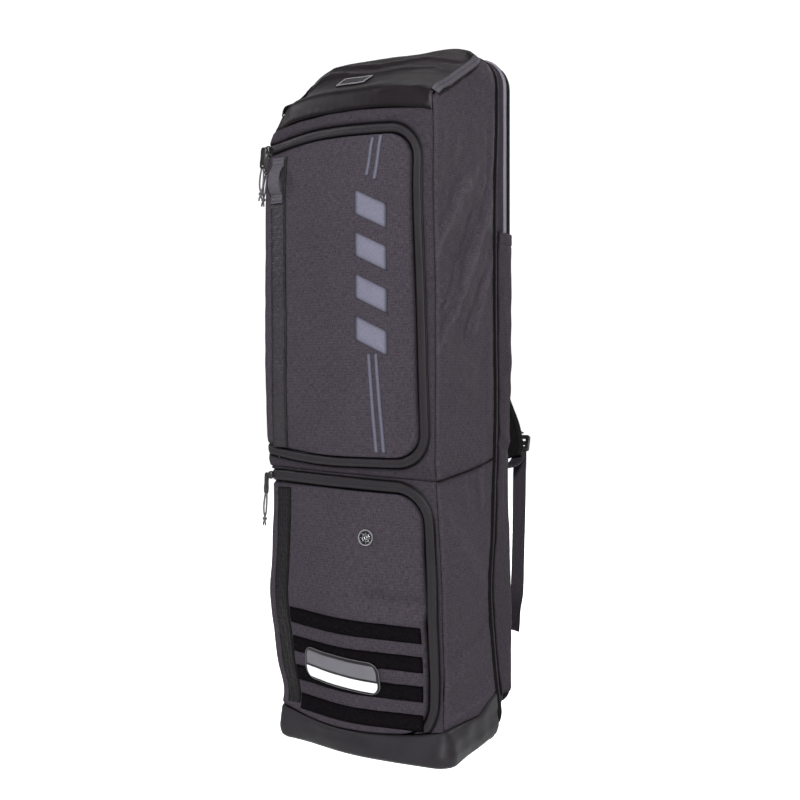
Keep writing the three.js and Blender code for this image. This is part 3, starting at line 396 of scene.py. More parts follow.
# Folds and ripples
def ripple(p, q, size, seed, waves=7):
    """Smooth random field of about -1 to 1 with features of a size."""
    rng = np.random.default_rng(SEED * 1000 + seed)
    total = 0.0
    for _ in range(waves):
        turn, phase = rng.uniform(0, 2 * pi, 2)
        number = rng.uniform(0.6, 1.5) * 2 * pi / size
        total = total + np.sin(number * (p * np.cos(turn) + q * np.sin(turn)) + phase)
    return total / np.sqrt(waves)


def along_fold(p, q, row):
    """How far each place lies aside of a fold's line, and how much of the fold reaches it."""
    p0, q0, p1, q1, height, width = row
    run = hypot(p1 - p0, q1 - q0)
    ahead = ((p - p0) * (p1 - p0) + (q - q0) * (q1 - q0)) / run
    aside = ((p - p0) * (q1 - q0) - (q - q0) * (p1 - p0)) / run
    beyond = ahead - np.clip(ahead, 0, run)
    bend = aside + 0.25 * width * ripple(ahead, 0 * ahead, 40, int(abs(p0 * 3 + q0)))
    return bend / width, bell(beyond, 1.6 * width)


def folds(p, q, rows):
    """Height of a row of ridges and hollows, each with a softer trough beside it."""
    ridge = np.zeros(np.broadcast(p, q).shape)
    hollow = np.zeros_like(ridge)
    for row in rows:
        bend, fade = along_fold(p, q, row)
        line = fade * row[4] * bell(bend, 1, 1.3)
        beside = -0.35 * fade * row[4] * bell(bend - 1.9, 1.4)
        ridge = np.maximum(ridge, np.maximum(line, beside))
        hollow = np.minimum(hollow, np.minimum(line, beside))
    return ridge + hollow


def crests(p, q, rows):
    """Share of painted highlight along the crests of the ridges, where light catches them."""
    worn = np.zeros(np.broadcast(p, q).shape)
    for row in rows:
        bend, fade = along_fold(p, q, row)
        worn = np.maximum(worn, np.clip(row[4] / CREST_HIGHLIGHT.full, 0, 1) * fade * bell(bend, CREST_HIGHLIGHT.thin))
    return worn


def relief(rows, *ripples, deepened=1):
    """Function for the height of a panel's folds and ripples; a ripple is its height, size and seed."""
    def height(p, q):
        total = deepened * folds(p, q, rows)
        for high, size, seed in ripples:
            total = total + high * ripple(p, q, size, seed)
        return total

    return height


upper_height = relief(UPPER_FOLDS, (0.7, 150, 11), (0.22, 42, 12))
lower_height = relief(LOWER_FOLDS, (0.7, 130, 13), (0.25, 38, 14))
front_height = relief(FRAME_FOLDS, (0.3, 45, 15))
lid_relief = relief(LID_FOLDS, (0.5, 95, 1), (0.1, 26, 2))
side_relief = relief(SIDE_FOLDS, (0.9, 120, 31), (0.4, 40, 32), deepened=1.25)


# Body and lid surfaces
def ring_half(z):
    """Half width of the back ring at a height, with its round upper corners."""
    rise = np.maximum(0, z - (RING.top - RING.corner))
    return RING.half - RING.corner + np.sqrt(np.maximum(0, RING.corner**2 - rise**2))


def section(z):
    """Sizes of the body's cross section at a height."""
    z = np.asarray(z, float)
    s = Sizes(**{column: curve_through(BODY, "z", column, z) for column in BODY})
    s.flat = s.half - CORNER
    s.depth = s.rear - s.front - CORNER
    s.rear_half = lerp(s.half, ring_half(z), smoothstep(z, 20, 60))
    return s


def body_point(a, z):
    """Point of the body's surface: a is the way round from the front's middle line, z the height."""
    a, z = np.broadcast_arrays(np.asarray(a, float), np.asarray(z, float))
    s = section(z)
    reach = np.abs(a)
    turn = np.clip((reach - s.flat) / CORNER, 0, pi / 2)
    along = np.maximum(reach - s.flat - QUARTER, 0)
    t = along / s.depth
    rear = lerp(s.half, s.rear_half, smoothstep(t, 0, 1)) + s.bulge * np.sin(pi * np.minimum(t, 1))
    half = np.where(along > 0, rear, s.flat + CORNER * np.sin(turn))
    on_front = reach <= s.flat
    swell = np.cos(pi / 2 * np.clip(reach / s.flat, 0, 1)) ** 2
    x = np.where(on_front, a, np.where(a < 0, -half, half))
    y = s.front + np.where(on_front, -s.crown * swell, CORNER * (1 - np.cos(turn)) + along)
    return np.stack([x, y, z], -1)


def normal_of(surface, u, v, step_u, step_v):
    """Outward direction of a surface, from two small steps along it."""
    along_u = surface(u + step_u, v) - surface(u - step_u, v)
    along_v = surface(u, v + step_v) - surface(u, v - step_v)
    return unit(np.cross(along_u, along_v))


def body_normal(a, z):
    return normal_of(body_point, a, z, 0.5, 0.5)


def corner_seam(z):
    return section(z).flat + QUARTER / 2


def rear_seam(z):
    s = section(z)
    return s.flat + QUARTER + s.depth - GAP


def left_seam(z):
    wrap = np.clip((LEFT_WRAP.high - z) / (LEFT_WRAP.high - LEFT_WRAP.low), 0, 1)
    return -(corner_seam(z) + wrap * (QUARTER / 2 + LEFT_WRAP.round))


def side_place(y, z):
    """Way round to the place on a side that lies at a depth y."""
    s = section(z)
    along = y - s.front - CORNER
    turn = np.arccos(np.clip(-along / CORNER, 0, 1))
    return s.flat + np.where(along >= 0, QUARTER + along, CORNER * turn)


def waist_height(a):
    s = section(WAIST.height)
    along = np.clip((np.abs(a) - s.flat) / (QUARTER + s.depth), 0, 1)
    return WAIST.height - WAIST.fall * np.clip(a / s.half, -1, 1) + WAIST.rear_rise * along**1.5


def boot_height(a):
    s = section(BOOT.corner)
    across = np.minimum(1, np.abs(a) / (s.flat + QUARTER / 2))
    along = np.clip((np.abs(a) - s.flat - QUARTER) / s.depth, 0, 1)
    return lerp(BOOT.front, BOOT.corner, across**3) + (BOOT.rear - BOOT.corner) * smoothstep(along, 0.55, 1)


def lid_at(column, v):
    return curve_through(LID, "v", column, v)


def lid_edge(v):
    y, z = lid_at("edge_y", v), lid_at("edge_z", v)
    return body_point(np.maximum(side_place(y, z), corner_seam(z)), z)


def lid_point(u, v):
    """Point of the lid: u from -1 to 1 across it, v from 0 at its front edge to 1 at the rear zip."""
    u, v = np.broadcast_arrays(np.asarray(u, float), np.asarray(v, float))
    edge = lid_edge(v)
    to_edge = np.abs(u) ** LID_SHOULDER
    y = lerp(lid_at("mid_y", v), edge[..., 1], to_edge)
    z = lerp(lid_at("mid_z", v), edge[..., 2], to_edge)
    return np.stack([u * edge[..., 0], y, z], -1)


def lid_normal(u, v):
    return normal_of(lid_point, u, v, 0.01, 0.005)


def lid_front(a):
    share = np.minimum(1, np.abs(a) / corner_seam(LID["edge_z"][0]))
    return lerp(LID["mid_z"][0], LID["edge_z"][0], share**LID_SHOULDER)


def rear_line(z):
    """Where the body ends at the rear zip."""
    return curve_through(BODY, "z", "rear", np.minimum(z, LID["edge_z"][-1]))


# Node materials
def feed(tree, socket, value):
    """Link a value to a socket, or set it."""
    if isinstance(value, bpy.types.NodeSocket):
        tree.links.new(value, socket)
    else:
        socket.default_value = value


def node(tree, kind, inputs=(), out=0, **settings):
    """Output of a new shader node."""
    made = tree.nodes.new("ShaderNode" + kind)
    for key, value in settings.items():
        setattr(made, key, value)
    for key, value in dict(inputs).items():
        feed(tree, made.inputs[key], value)
    return made.outputs[out]


class Surface:
    """Nodes of one finish, whose pattern is read from a map named cloth in millimetres."""

    def __init__(self, name, specular, fading):
        self.material = bpy.data.materials.new(name)
        self.material.use_nodes = True
        self.tree = self.material.node_tree
        self.inputs = self.tree.nodes["Principled BSDF"].inputs
        self.inputs["Specular IOR Level"].default_value = specular
        self.place = node(self.tree, "UVMap", uv_map="cloth")
        self.broad = self.noise(self.place, fading, 4.0)
        # The seam attribute holds painted shade at seams and edges, and a painted highlight on fold crests
        # where it is below zero
        self.seam = node(self.tree, "Attribute", out="Fac", attribute_name="seam")

    def calc(self, operation, *values):
        return node(self.tree, "Math", dict(enumerate(values)), operation=operation)

    def carry(self, value, *ends):
        """Value carried from one range to another."""
        return node(self.tree, "MapRange", dict(enumerate([value, *ends])))

    def noise(self, place, scale, detail):
        return node(self.tree, "TexNoise", {"Vector": place, "Scale": scale, "Detail": detail})

    def drawn_out(self, along, across):
        return node(self.tree, "VectorMath", {0: self.place, 1: (along, across, 1)}, operation="MULTIPLY")

    def rubbed(self, rough, change):
        """Roughness that changes over broad patches."""
        return self.carry(self.broad, 0.3, 0.7, rough - change, rough + change)

    def finish(self, dark, light, share, shade, rough, height, strength, deep):
        """Material of a mixed and shaded colour, with its roughness and bump."""
        pair = {"Factor": share, 6: (*dark, 1), 7: (*light, 1)}
        colour = node(self.tree, "Mix", pair, out=2, data_type="RGBA")
        painted = node(self.tree, "VectorMath", {0: colour, "Scale": shade}, operation="SCALE")
        bump = node(self.tree, "Bump", {"Strength": strength, "Distance": deep * MM, "Height": height})
        for key, value in (("Base Color", painted), ("Roughness", rough), ("Normal", bump)):
            feed(self.tree, self.inputs[key], value)
        return self.material


def cloth_material(name, dark, light, threads=0.9, weave=0.2, rib=0.0, rib_deep=0.0, rib_axis="Y", cross=0.0,
                   uneven=0.15, yarn_size=1.0, blotch=0.14, rough=0.85, deep=0.2, specular=0.05):
    """Woven or coated cloth: crossed threads, ribs, uneven yarn, broad fading, painted shade in the seams and
    a painted highlight on fold crests.
    """
    s = Surface(name, specular, 0.016)

    def wave(axis, size):
        part = node(s.tree, "SeparateXYZ", {0: s.place}, out=axis)
        return s.calc("SINE", s.calc("MULTIPLY", part, 2 * pi / size))

    crossed = s.calc("MULTIPLY", wave("X", threads), wave("Y", threads))
    yarns = [s.noise(s.drawn_out(*drawn), 1 / yarn_size, 2.0) for drawn in ((0.2, 1.7), (1.7, 0.2))]
    yarn = s.calc("MULTIPLY", s.calc("ADD", *yarns), 0.5)
    faded = s.calc("MULTIPLY_ADD", s.broad, 2 * blotch, 1 - blotch)
    shade = s.calc("MULTIPLY", s.calc("MULTIPLY_ADD", crossed, 0.5 * weave, 1.0), faded)
    height = s.calc("MULTIPLY_ADD", crossed, weave, yarn)
    if rib:
        line = s.calc("MULTIPLY", wave(rib_axis, rib), rib_deep)
        if cross:
            line = s.calc("MULTIPLY_ADD", wave("X", rib), rib_deep * cross, line)
        height = s.calc("ADD", height, line)
        shade = s.calc("MULTIPLY", shade, s.calc("MULTIPLY_ADD", line, 0.25, 1.0))
    # Painted shade in the seams from the seam attribute; below zero it is a painted highlight on fold crests
    shade = s.calc("MULTIPLY", shade, s.calc("MULTIPLY_ADD", s.seam, -0.88, 1.0))
    share = s.carry(yarn, 0.5 - uneven, 0.5 + uneven)
    return s.finish(dark, light, share, shade, s.rubbed(rough, 0.07), height, 0.6, deep)


def mesh_material(name, dark, light, cell):
    """Spacer mesh: open cells between raised threads."""
    s = Surface(name, 0.08, 0.02)
    cells = node(s.tree, "TexVoronoi", {"Vector": s.place, "Scale": 1 / cell, "Randomness": 0.25},
                 feature="DISTANCE_TO_EDGE")
    thread = s.carry(cells, 0.08, 0.3, 1.0, 0.0)
    return s.finish(dark, light, thread, s.calc("ADD", s.broad, 0.5), 0.9, thread, 0.9, 0.6)


def grain_material(name, dark, light, size, rough, deep, metal=0.0, drawn=(1, 1), specular=0.15):
    """Moulded plastic, rubber or brushed metal, with an uneven grain."""
    s = Surface(name, specular, 0.03)
    grain = s.noise(s.drawn_out(*drawn), 1 / size, 3.0)
    mixed = s.calc("MULTIPLY_ADD", grain, 0.6, s.calc("MULTIPLY", s.broad, 0.4))
    s.inputs["Metallic"].default_value = metal
    # Painted shade at the seams and edges, from the seam attribute
    worn = s.calc("MULTIPLY_ADD", s.seam, -0.7, 1.0)
    return s.finish(dark, light, s.carry(mixed, 0.35, 0.65), worn, s.rubbed(rough, 0.08), grain, 0.5, deep)


def srgb(colour, share=1.0):
    """Linear colour of an 8-bit one, at a share of its strength."""
    return tuple(share * ((c / 255 + 0.055) / 1.055) ** 2.4 for c in colour)


HEATHER = {"rib": 4.3, "rib_deep": 0.2, "cross": 0.5, "yarn_size": 1.5}
TAPE = {"threads": 1.1, "rib": 2.6, "rib_deep": 0.4, "deep": 0.3}
STRAPPING = {"threads": 1.6, "weave": 0.5, "rib": 2.0, "rib_deep": 0.5, "rib_axis": "X", "deep": 0.4}
SEWING = {"threads": 0.5, "rough": 0.7}
LOOKS = {
    # finish: maker, material, slot, darkest and lightest colour as the studio light shows them, settings
    "heather": (cloth_material, "heather_cloth", "heather", (54, 49, 56), (92, 84, 95), HEATHER),
    # Lightened copy of the heather for the side panels: painted light for the sides, which get less light
    # than the front
    "side_heather": (cloth_material, "side_cloth", "heather", (55, 50, 57), (94, 86, 97), HEATHER),
    # Darker copy of the heather, for the gusset, the sleeve and the front frames; on the front frames it is
    # painted shade, such as under the lid's overhang
    "back_heather": (cloth_material, "back_cloth", "heather", (48, 43, 50), (84, 77, 87), HEATHER),
    "coated": (cloth_material, "coated_cloth", "coated", (22, 17, 21), (35, 28, 34),
               {"threads": 1.4, "weave": 0.1, "rough": 0.5, "specular": 0.09}),
    "tape": (cloth_material, "ribbed_tape", "coated", (22, 20, 22), (42, 39, 43),
             {**TAPE, "rough": 0.5, "specular": 0.09}),
    # Lighter copy of the ribbed tape for the upper tape: its extra lightness is painted sheen
    "bright_tape": (cloth_material, "bright_tape", "coated", (48, 45, 49), (76, 72, 78),
                    {**TAPE, "rough": 0.45, "specular": 0.12}),
    "boot": (grain_material, "boot_grain", "boot_rubber", (47, 44, 48), (58, 55, 60),
             {"size": 1.1, "rough": 0.55, "deep": 0.2, "specular": 0.08}),
    "zip": (cloth_material, "zip_tape", "zip_band", (42, 39, 43), (58, 54, 60),
            {"threads": 0.8, "rib": 1.6, "rib_deep": 0.2, "rough": 0.5, "specular": 0.1}),
    "rear_zip": (cloth_material, "rear_zip_tape", "zip_band", (8, 7, 8), (18, 16, 18),
                 {"threads": 0.8, "rough": 0.6}),
    "pile": (cloth_material, "loop_pile", "loop_pile", (10, 9, 10), (38, 34, 38),
             {"threads": 1.2, "weave": 0.8, "rough": 0.95, "deep": 0.6, "specular": 0.02}),
    "grey_webbing": (cloth_material, "grey_webbing", "grey_webbing", (85, 81, 89), (117, 113, 122),
                     STRAPPING),
    # Lighter copy of the grey webbing for the piping: partly its own lighter tone, partly painted light
    # against the shade at the back
    "piping": (cloth_material, "piping_webbing", "grey_webbing", (134, 129, 141), (164, 159, 171), STRAPPING),
    "black_webbing": (cloth_material, "dark_webbing", "black_webbing", (44, 40, 46), (66, 61, 69), STRAPPING),
    "mesh": (mesh_material, "spacer_mesh", "mesh_padding", (3, 3, 3), (24, 22, 24), {"cell": 2.6}),
    "binding": (cloth_material, "strap_binding", "mesh_padding", (12, 11, 12), (26, 24, 26),
                {"threads": 1.0, "rib": 1.8, "rib_deep": 0.4, "rough": 0.7}),
    "patch_edge": (grain_material, "patch_edge", "patch_cloth", (26, 24, 27), (38, 36, 40),
                   {"size": 0.8, "rough": 0.5, "deep": 0.15}),
    "patch_field": (grain_material, "patch_field", "patch_cloth", (118, 116, 123), (142, 140, 148),
                    {"size": 0.9, "rough": 0.6, "deep": 0.15}),
    "patch_band": (grain_material, "patch_band", "patch_cloth", (172, 172, 174), (184, 184, 186),
                   {"size": 0.9, "rough": 0.6, "deep": 0.12}),
    "print": (cloth_material, "print_ink", "patch_cloth", (122, 121, 140), (150, 149, 168), {"rough": 0.6}),
    "plastic": (grain_material, "black_plastic", "black_plastic", (10, 10, 11), (24, 22, 24),
                {"size": 0.7, "rough": 0.4, "deep": 0.08, "specular": 0.35}),
    "rim": (grain_material, "grey_rim", "steel", (132, 130, 136), (164, 162, 168),
            {"size": 0.7, "rough": 0.45, "deep": 0.08, "specular": 0.3}),
    "steel": (grain_material, "brushed_steel", "steel", (120, 120, 126), (170, 170, 176),
              {"size": 0.6, "rough": 0.32, "deep": 0.05, "metal": 1.0, "drawn": (0.2, 3.0)}),
    "cord": (cloth_material, "braided_cord", "cord_grey", (84, 80, 86), (150, 144, 152),
             {"threads": 1.3, "weave": 0.7, "uneven": 0.12, "deep": 0.4}),
    "thread": (cloth_material, "sewing_thread", "black_webbing", (10, 9, 10), (24, 22, 25), SEWING),
    "pale_thread": (cloth_material, "pale_thread", "grey_webbing", (62, 58, 64), (90, 85, 93), SEWING),
}
# Finishes whose colours are their own, not as the studio light shows them
FULL_STRENGTH = ("patch_band", "steel")
FINISHES = {}
for finish, (maker, material, _, dark, light, settings) in LOOKS.items():
    share = 1.0 if finish in FULL_STRENGTH else 1 / STUDIO
    FINISHES[finish] = maker(material, srgb(dark, share), srgb(light, share), **settings)


# Meshes
def settle(points):
    """The padded back bends in at the small of the back, and the lid's left front corner falls in."""
    x, y, z = points.T
    bent = LUMBAR.deep * bell(z - LUMBAR.z, LUMBAR.tall)
    bent = bent * smoothstep(y, *LUMBAR.front) * (1 - smoothstep(y, *LUMBAR.rear))
    slack = SLACK_CORNER.deep * smoothstep(z, *SLACK_CORNER.rise)
    slack = slack * (1 - smoothstep(y, *SLACK_CORNER.near)) * smoothstep(-x, *SLACK_CORNER.across)
    return np.stack([x + slack, y - bent, z], 1)


def piece(name, points, faces, finish, uv, stands_for=(), seam=None, sharp=50):
    """One shown piece, facing outwards, with its cloth map, finish and place on the frame."""
    points = settle(np.asarray(points, float).reshape(-1, 3))
    mesh = bpy.data.meshes.new(name)
    mesh.from_pydata((points * MM).tolist(), [], [tuple(map(int, face)) for face in faces])
    mesh.calc_loop_triangles()
    corners = np.empty(3 * len(mesh.loop_triangles), int)
    mesh.loop_triangles.foreach_get("vertices", corners)
    p, q, r = (points - points.mean(0))[corners].reshape(-1, 3, 3).transpose(1, 0, 2)
    if np.einsum("ij,ij->", p, np.cross(q, r)) < 0:
        mesh.flip_normals()
    map_cloth(mesh, np.asarray(uv).reshape(-1, 2))
    # seam carries painted shade along the seams, less a painted highlight on fold crests
    if seam is not None:
        mesh.attributes.new("seam", "FLOAT", "POINT").data.foreach_set("value", np.float32(seam).ravel())
    mesh.polygons.foreach_set("use_smooth", np.ones(len(mesh.polygons), bool))
    mesh.set_sharp_from_angle(angle=radians(sharp))
    mesh.materials.append(FINISHES[finish])
    made = shown(name, mesh)
    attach(made, "root")
    if stands_for:
        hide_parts(*stands_for)
    return made


def map_cloth(mesh, uv):
    """Give a mesh the cloth map, from a place for each of its points."""
    loops = np.empty(len(mesh.loops), int)
    mesh.loops.foreach_get("vertex_index", loops)
    mesh.uv_layers.new(name="cloth").uv.foreach_set("vector", uv[loops].astype(np.float32).ravel())


def shown(name, data):
    """New object of the scene."""
    made = bpy.data.objects.new(name, data)
    bpy.context.collection.objects.link(made)
    return made


def quads(numbers, wrap_rows=False, wrap_columns=False):
    """Faces of a grid of point numbers."""
    if wrap_rows:
        numbers = np.concatenate([numbers, numbers[:1]])
    if wrap_columns:
        numbers = np.concatenate([numbers, numbers[:, :1]], 1)
    corners = [numbers[:-1, :-1], numbers[1:, :-1], numbers[1:, 1:], numbers[:-1, 1:]]
    return np.stack(corners, -1).reshape(-1, 4)


def rim_of(points):
    """Outer line of a grid, once round."""
    return np.concatenate([points[0, :-1], points[:-1, -1], points[-1, :0:-1], points[:0:-1, 0]])


def edge_distance(points, edges):
    """Distance from each point of a grid to the nearest of its named edges."""
    down = np.linalg.norm(np.diff(points, axis=0), axis=2).cumsum(0)
    down = np.concatenate([0 * down[:1], down])
    across = np.linalg.norm(np.diff(points, axis=1), axis=2).cumsum(1)
    across = np.concatenate([0 * across[:, :1], across], 1)
    ways = {"t": down, "b": down[-1] - down, "l": across, "r": across[:, -1:] - across}
    return np.min([ways[e] for e in edges], axis=0)


def flat_size(points):
    """Width and length in metres of the flat cloth that a grid of points was cut from."""
    sides = np.cross(points[1:, 1:] - points[:-1, :-1], points[1:, :-1] - points[:-1, 1:])
    area = 0.5 * np.linalg.norm(sides, axis=2).sum()
    width = max(np.linalg.norm(np.diff(points, axis=1), axis=2).sum(1).mean(), NARROWEST)
    return width * MM, area / width * MM


def walled(name, outer, normals, thick, finish, uv, seam=None, stands_for=(), flat=None, held="stretched",
           rests_on=()):
    """Closed wall of a thickness behind a grid of points; if a flat grid is given, its flat size is worked
    out but not kept.
    """
    count = outer.shape[0] * outer.shape[1]
    points = np.concatenate([outer.reshape(-1, 3), (outer - normals * thick).reshape(-1, 3)])
    out = np.arange(count).reshape(outer.shape[:2])
    rim = rim_of(out)
    edge = quads(np.stack([rim, rim + count], 1), wrap_rows=True)
    faces = np.concatenate([quads(out), quads(out + count)[:, ::-1], edge[:, ::-1]])
    doubled = None if seam is None else np.tile(seam.ravel(), 2)
    made = piece(name, points, faces, finish, np.tile(uv.reshape(-1, 2), (2, 1)), stands_for, doubled)
    if flat is not None:
        flat_size(flat)
        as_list(rests_on)


def cloth(name, places, finish, height, thick=WALL, edges="tblr", seam=(SEAM.deep, SEAM.wide),
          shade=SEAM.shade, dark_edges="", pucker=PUCKER.high, worn=0.0, on_lid=False, is_sheet=True,
          **declared):
    """Sewn cloth over a grid of places on the body or the lid, its edges turned in at the seams."""
    surface, normal = (lid_point, lid_normal) if on_lid else (body_point, body_normal)
    points, normals = surface(*split(places)), normal(*split(places))
    uv = places * LID_SIZE if on_lid else places
    away = edge_distance(points, edges) if edges else np.full(places.shape[:2], np.inf)
    near = np.exp(-away / PUCKER.reach) * smoothstep(away, 0, 3)
    puckered = pucker * near * ripple(*split(uv), PUCKER.long, len(name))
    outer = raised(points, normals, height - seam[0] * near_edge(away, seam[1]) + puckered)
    # Painted shade along the edges: full at the dark edges, faint at the others
    dark = np.exp(-away / shade)
    if dark_edges:
        dark = np.maximum(SEAM.faint * dark, np.exp(-edge_distance(points, dark_edges) / SEAM.shade))
    flat = points if is_sheet else None
    # The painted shade, less the painted highlight on fold crests, goes to the seam attribute
    walled(name, outer, normals, thick, finish, uv, dark - CREST_HIGHLIGHT.light * worn, flat=flat, **declared)


def loft(name, loops, finish, uv, stands_for=(), closed=False, last_cap=None):
    """Solid through closed loops of points, capped at its two ends or closed on itself."""
    count = loops.shape[1]
    numbers = np.arange(loops.shape[0] * count).reshape(-1, count)
    faces = quads(numbers, wrap_rows=closed, wrap_columns=True).tolist()
    if not closed:
        faces.append(numbers[0].tolist())
        faces += [numbers[-1, face].tolist() for face in last_cap or [np.arange(count)[::-1]]]
    return piece(name, loops, faces, finish, uv, stands_for)


def stitches(name, lines, finish="thread", pitch=3.6, long=2.7, wide=0.8, proud=0.35):
    """Rows of single stitches along lines, each line given by its points and outward directions."""
    points = []
    for line, outward in lines:
        step = lengths(line)
        at = np.arange(pitch / 2, step[-1], pitch)
        place = sample(line, step, at)
        along = unit(sample(line, step, at + 0.5) - sample(line, step, at - 0.5) + 1e-9)
        up = unit(sample(outward, step, at))
        across = unit(np.cross(along, up)) * wide / 2
        ends = [along * long / 2 - up * 0.1, -along * long / 2 - up * 0.1]
        points.append(np.stack([place + s for s in (*ends, across, -across, up * proud, -up * proud)], 1))
    points = np.concatenate(points)
    sides = [(0, 4, 2), (0, 3, 4), (0, 5, 3), (0, 2, 5), (1, 2, 4), (1, 4, 3), (1, 3, 5), (1, 5, 2)]
    faces = 6 * np.arange(len(points))[:, None, None] + np.array(sides)
    piece(name, points, faces.reshape(-1, 3), finish, points[..., [0, 2]])


def tube(name, line, radius, finish, sides=14, closed=False, stands_for=()):
    """Round rod or wire along a line, or a cord with a light braid on its surface."""
    line = np.asarray(line, float)
    ahead = np.roll(line, -1, 0) - np.roll(line, 1, 0) if closed else np.gradient(line, axis=0)
    along = unit(ahead)
    step = lengths(line)[:, None]
    across = unit(np.cross(along, (0.3, 0.8, 0.5)))
    for i in range(1, len(across)):
        across[i] = unit(across[i - 1] - along[i] * (across[i - 1] @ along[i]))
    turn = np.linspace(0, 2 * pi, sides, endpoint=False)
    weave = np.abs(np.sin(4 * turn + step * 2.2)) + np.abs(np.sin(4 * turn - step * 2.2))
    braid = CORD.braid if finish == "cord" else 0
    ring = raised(across[:, None] * 0, across[:, None], np.cos(turn))
    ring = raised(ring, np.cross(along, across)[:, None], np.sin(turn))
    loops = raised(line[:, None], ring, radius * (1 + braid * (weave - 1.2)))
    return loft(name, loops, finish, grid(step, radius * turn), stands_for, closed)


def plate(name, outlines, thick, bevel, finish, matrix, stands_for=()):
    """Flat plate of an outline with holes and rounded edges, placed by a matrix in millimetres."""
    curve = bpy.data.curves.new(name, "CURVE")
    curve.dimensions = "2D"
    curve.fill_mode = "BOTH"
    curve.extrude = (thick / 2 - bevel) * MM
    curve.bevel_depth = bevel * MM
    curve.bevel_resolution = 2
    for outline in outlines:
        spline = curve.splines.new("POLY")
        spline.points.add(len(outline) - 1)
        for point, (x, y) in zip(spline.points, outline):
            point.co = (x * MM, y * MM, 0, 1)
        spline.use_cyclic_u = True
    shape = shown(name + "_outline", curve)
    bpy.context.view_layer.update()
    made = bmesh.new()
    made.from_mesh(shape.to_mesh())
    shape.to_mesh_clear()
    bpy.data.objects.remove(shape)
    bpy.data.curves.remove(curve)
    bmesh.ops.remove_doubles(made, verts=made.verts, dist=2e-6)
    made.verts.index_update()
    flat = np.array([v.co[:] for v in made.verts]) / MM
    faces = [[v.index for v in f.verts] for f in made.faces]
    made.free()
    piece(name, moved(flat, matrix), faces, finish, flat[:, :2], stands_for, sharp=35)


def moved(points, matrix):
    """Points placed by a matrix."""
    matrix = np.array(matrix)
    return np.asarray(points) @ matrix[:3, :3].T + matrix[:3, 3]


def rectangle(width, height, radius, middle=(0, 0), steps=7):
    """Outline of a rectangle with round corners."""
    rows = []
    for k, side in enumerate([(1, 1), (-1, 1), (-1, -1), (1, -1)]):
        turn = np.linspace(0, pi / 2, steps) + k * pi / 2
        corner = np.array(middle) + np.array(side) * (width / 2 - radius, height / 2 - radius)
        rows.append(corner + radius * grid(np.cos(turn), np.sin(turn)))
    return np.concatenate(rows)


# Camera and cords come first
def make_camera():
    camera = shown("camera", bpy.data.cameras.new("camera"))
    camera.location = Vector(CAMERA.place) * MM
    camera.rotation_euler = (pi / 2, 0, CAMERA.azimuth)
    camera.data.lens = CAMERA.lens
    camera.data.sensor_width = CAMERA.sensor
    camera.data.shift_y = CAMERA.shift
    camera.data.clip_end = 50
    bpy.context.scene.camera = camera


def slider_matrix(pull):
    """Matrix of a slider: across, up and out of the cloth, at its place on the body."""
    a = -(corner_seam(pull.z) + pull.round)
    outward = unit(body_normal(a, pull.z) * (1, 1, 0))
    columns = [np.cross((0, 0, 1), outward), (0, 0, 1), outward, body_point(a, pull.z)]
    return Matrix([*np.stack(columns, 1).tolist(), [0, 0, 0, 1]])


def hang_matrix(pull):
    """Matrix of what hangs from a slider: swung about it, turned to face the front and clear of it."""
    room = (TAB.width * np.sin(pull.facing) + TAB.thick * np.cos(pull.facing)) / 2
    out = Matrix.Translation((0, 0, pull.lift + SLIDER.thick + GAP + room))
    turn, swing = Matrix.Rotation(pull.facing, 4, "Y"), Matrix.Rotation(-pull.swing, 4, "Z")
    return slider_matrix(pull) @ out @ turn @ swing


def make_cords():
    top = TAB.above - TAB.length - GAP
    leg = [(CORD.spread * aside, top - CORD.drop * down, out) for down, aside, out in CORD_LEG]
    other = [(-x, y, out) for x, y, out in leg]
    for pull in PULLS:
        line = moved(smooth_line(other + leg[-2::-1], 150), hang_matrix(pull))
        cord = tube(f"cord_{pull.name}", line, CORD.diameter / 2, "cord",
                    stands_for=[f"pull_cord_{pull.name}"])
        knot = make_knot(pull, top - CORD.drop)
        length = lengths(line)[-1]


def make_knot(pull, foot):
    """Overhand knot that closes a cord loop, with its two cut ends below it."""
    radius = CORD.diameter / 2
    over = hang_matrix(pull)
    middle = foot - radius - CORD.knot * 1.15 - GAP + 2.2
    t = np.linspace(0, 2 * pi, 120, endpoint=False)
    x = 0.85 * (np.sin(t) + 1.7 * np.sin(2 * t))
    y = middle + 1.5 * (np.cos(t) - 1.7 * np.cos(2 * t))
    line = grid(x, y, 1.0 - 1.3 * np.sin(3 * t))
    knot = tube(f"knot_{pull.name}", moved(line, over), radius * 0.92, "cord", closed=True,
                stands_for=[f"pull_knot_{pull.name}"])
    for name, side in SIDES.items():
        end = [(side * 0.6, middle - 2, 1.2), (side * 1.8, middle - 5, 1.4), (side * 2.6, middle - 9.5, 1.0)]
        tube(f"cord_end_{pull.name}_{name[0]}", moved(smooth_line(end, 24), over), radius * 0.9, "cord")
    return knot


# Lid
def lid_height(u, v):
    across, up = u * LID_SIZE[0], v * LID_SIZE[1]
    to_side = 1 - np.abs(u)
    height = smoothstep(to_side, 0.02, 0.16) * smoothstep(v, 0.02, 0.12) * lid_relief(across, up)
    held = smoothstep(to_side, 0, 0.12) * smoothstep(1 - v, 0, 0.06)
    for middle, level, rise, wide, long in LID_SWELL:
        height = height + held * rise * bell(across - middle, wide) * bell(up - level, long)
    return height


def make_lid():
    v = np.concatenate([np.linspace(0, 0.12, 12), np.linspace(0.12, 1, 84)[1:]])[:, None]
    u = np.sin(np.linspace(-1, 1, 121) * pi / 2)
    places = grid(u * (1 - LID_LIP.inset * (1 - smoothstep(v, LID_LIP.start, LID_LIP.stop))), v)
    # Painted highlight along the lid's fold crests
    worn = CREST_HIGHLIGHT.on_lid * crests(*split(places * LID_SIZE), LID_FOLDS)
    cloth("lid_cloth", places, "coated", lid_height(*split(places)), seam=(1.6, 5), worn=worn, on_lid=True,
          stands_for=["lid"])


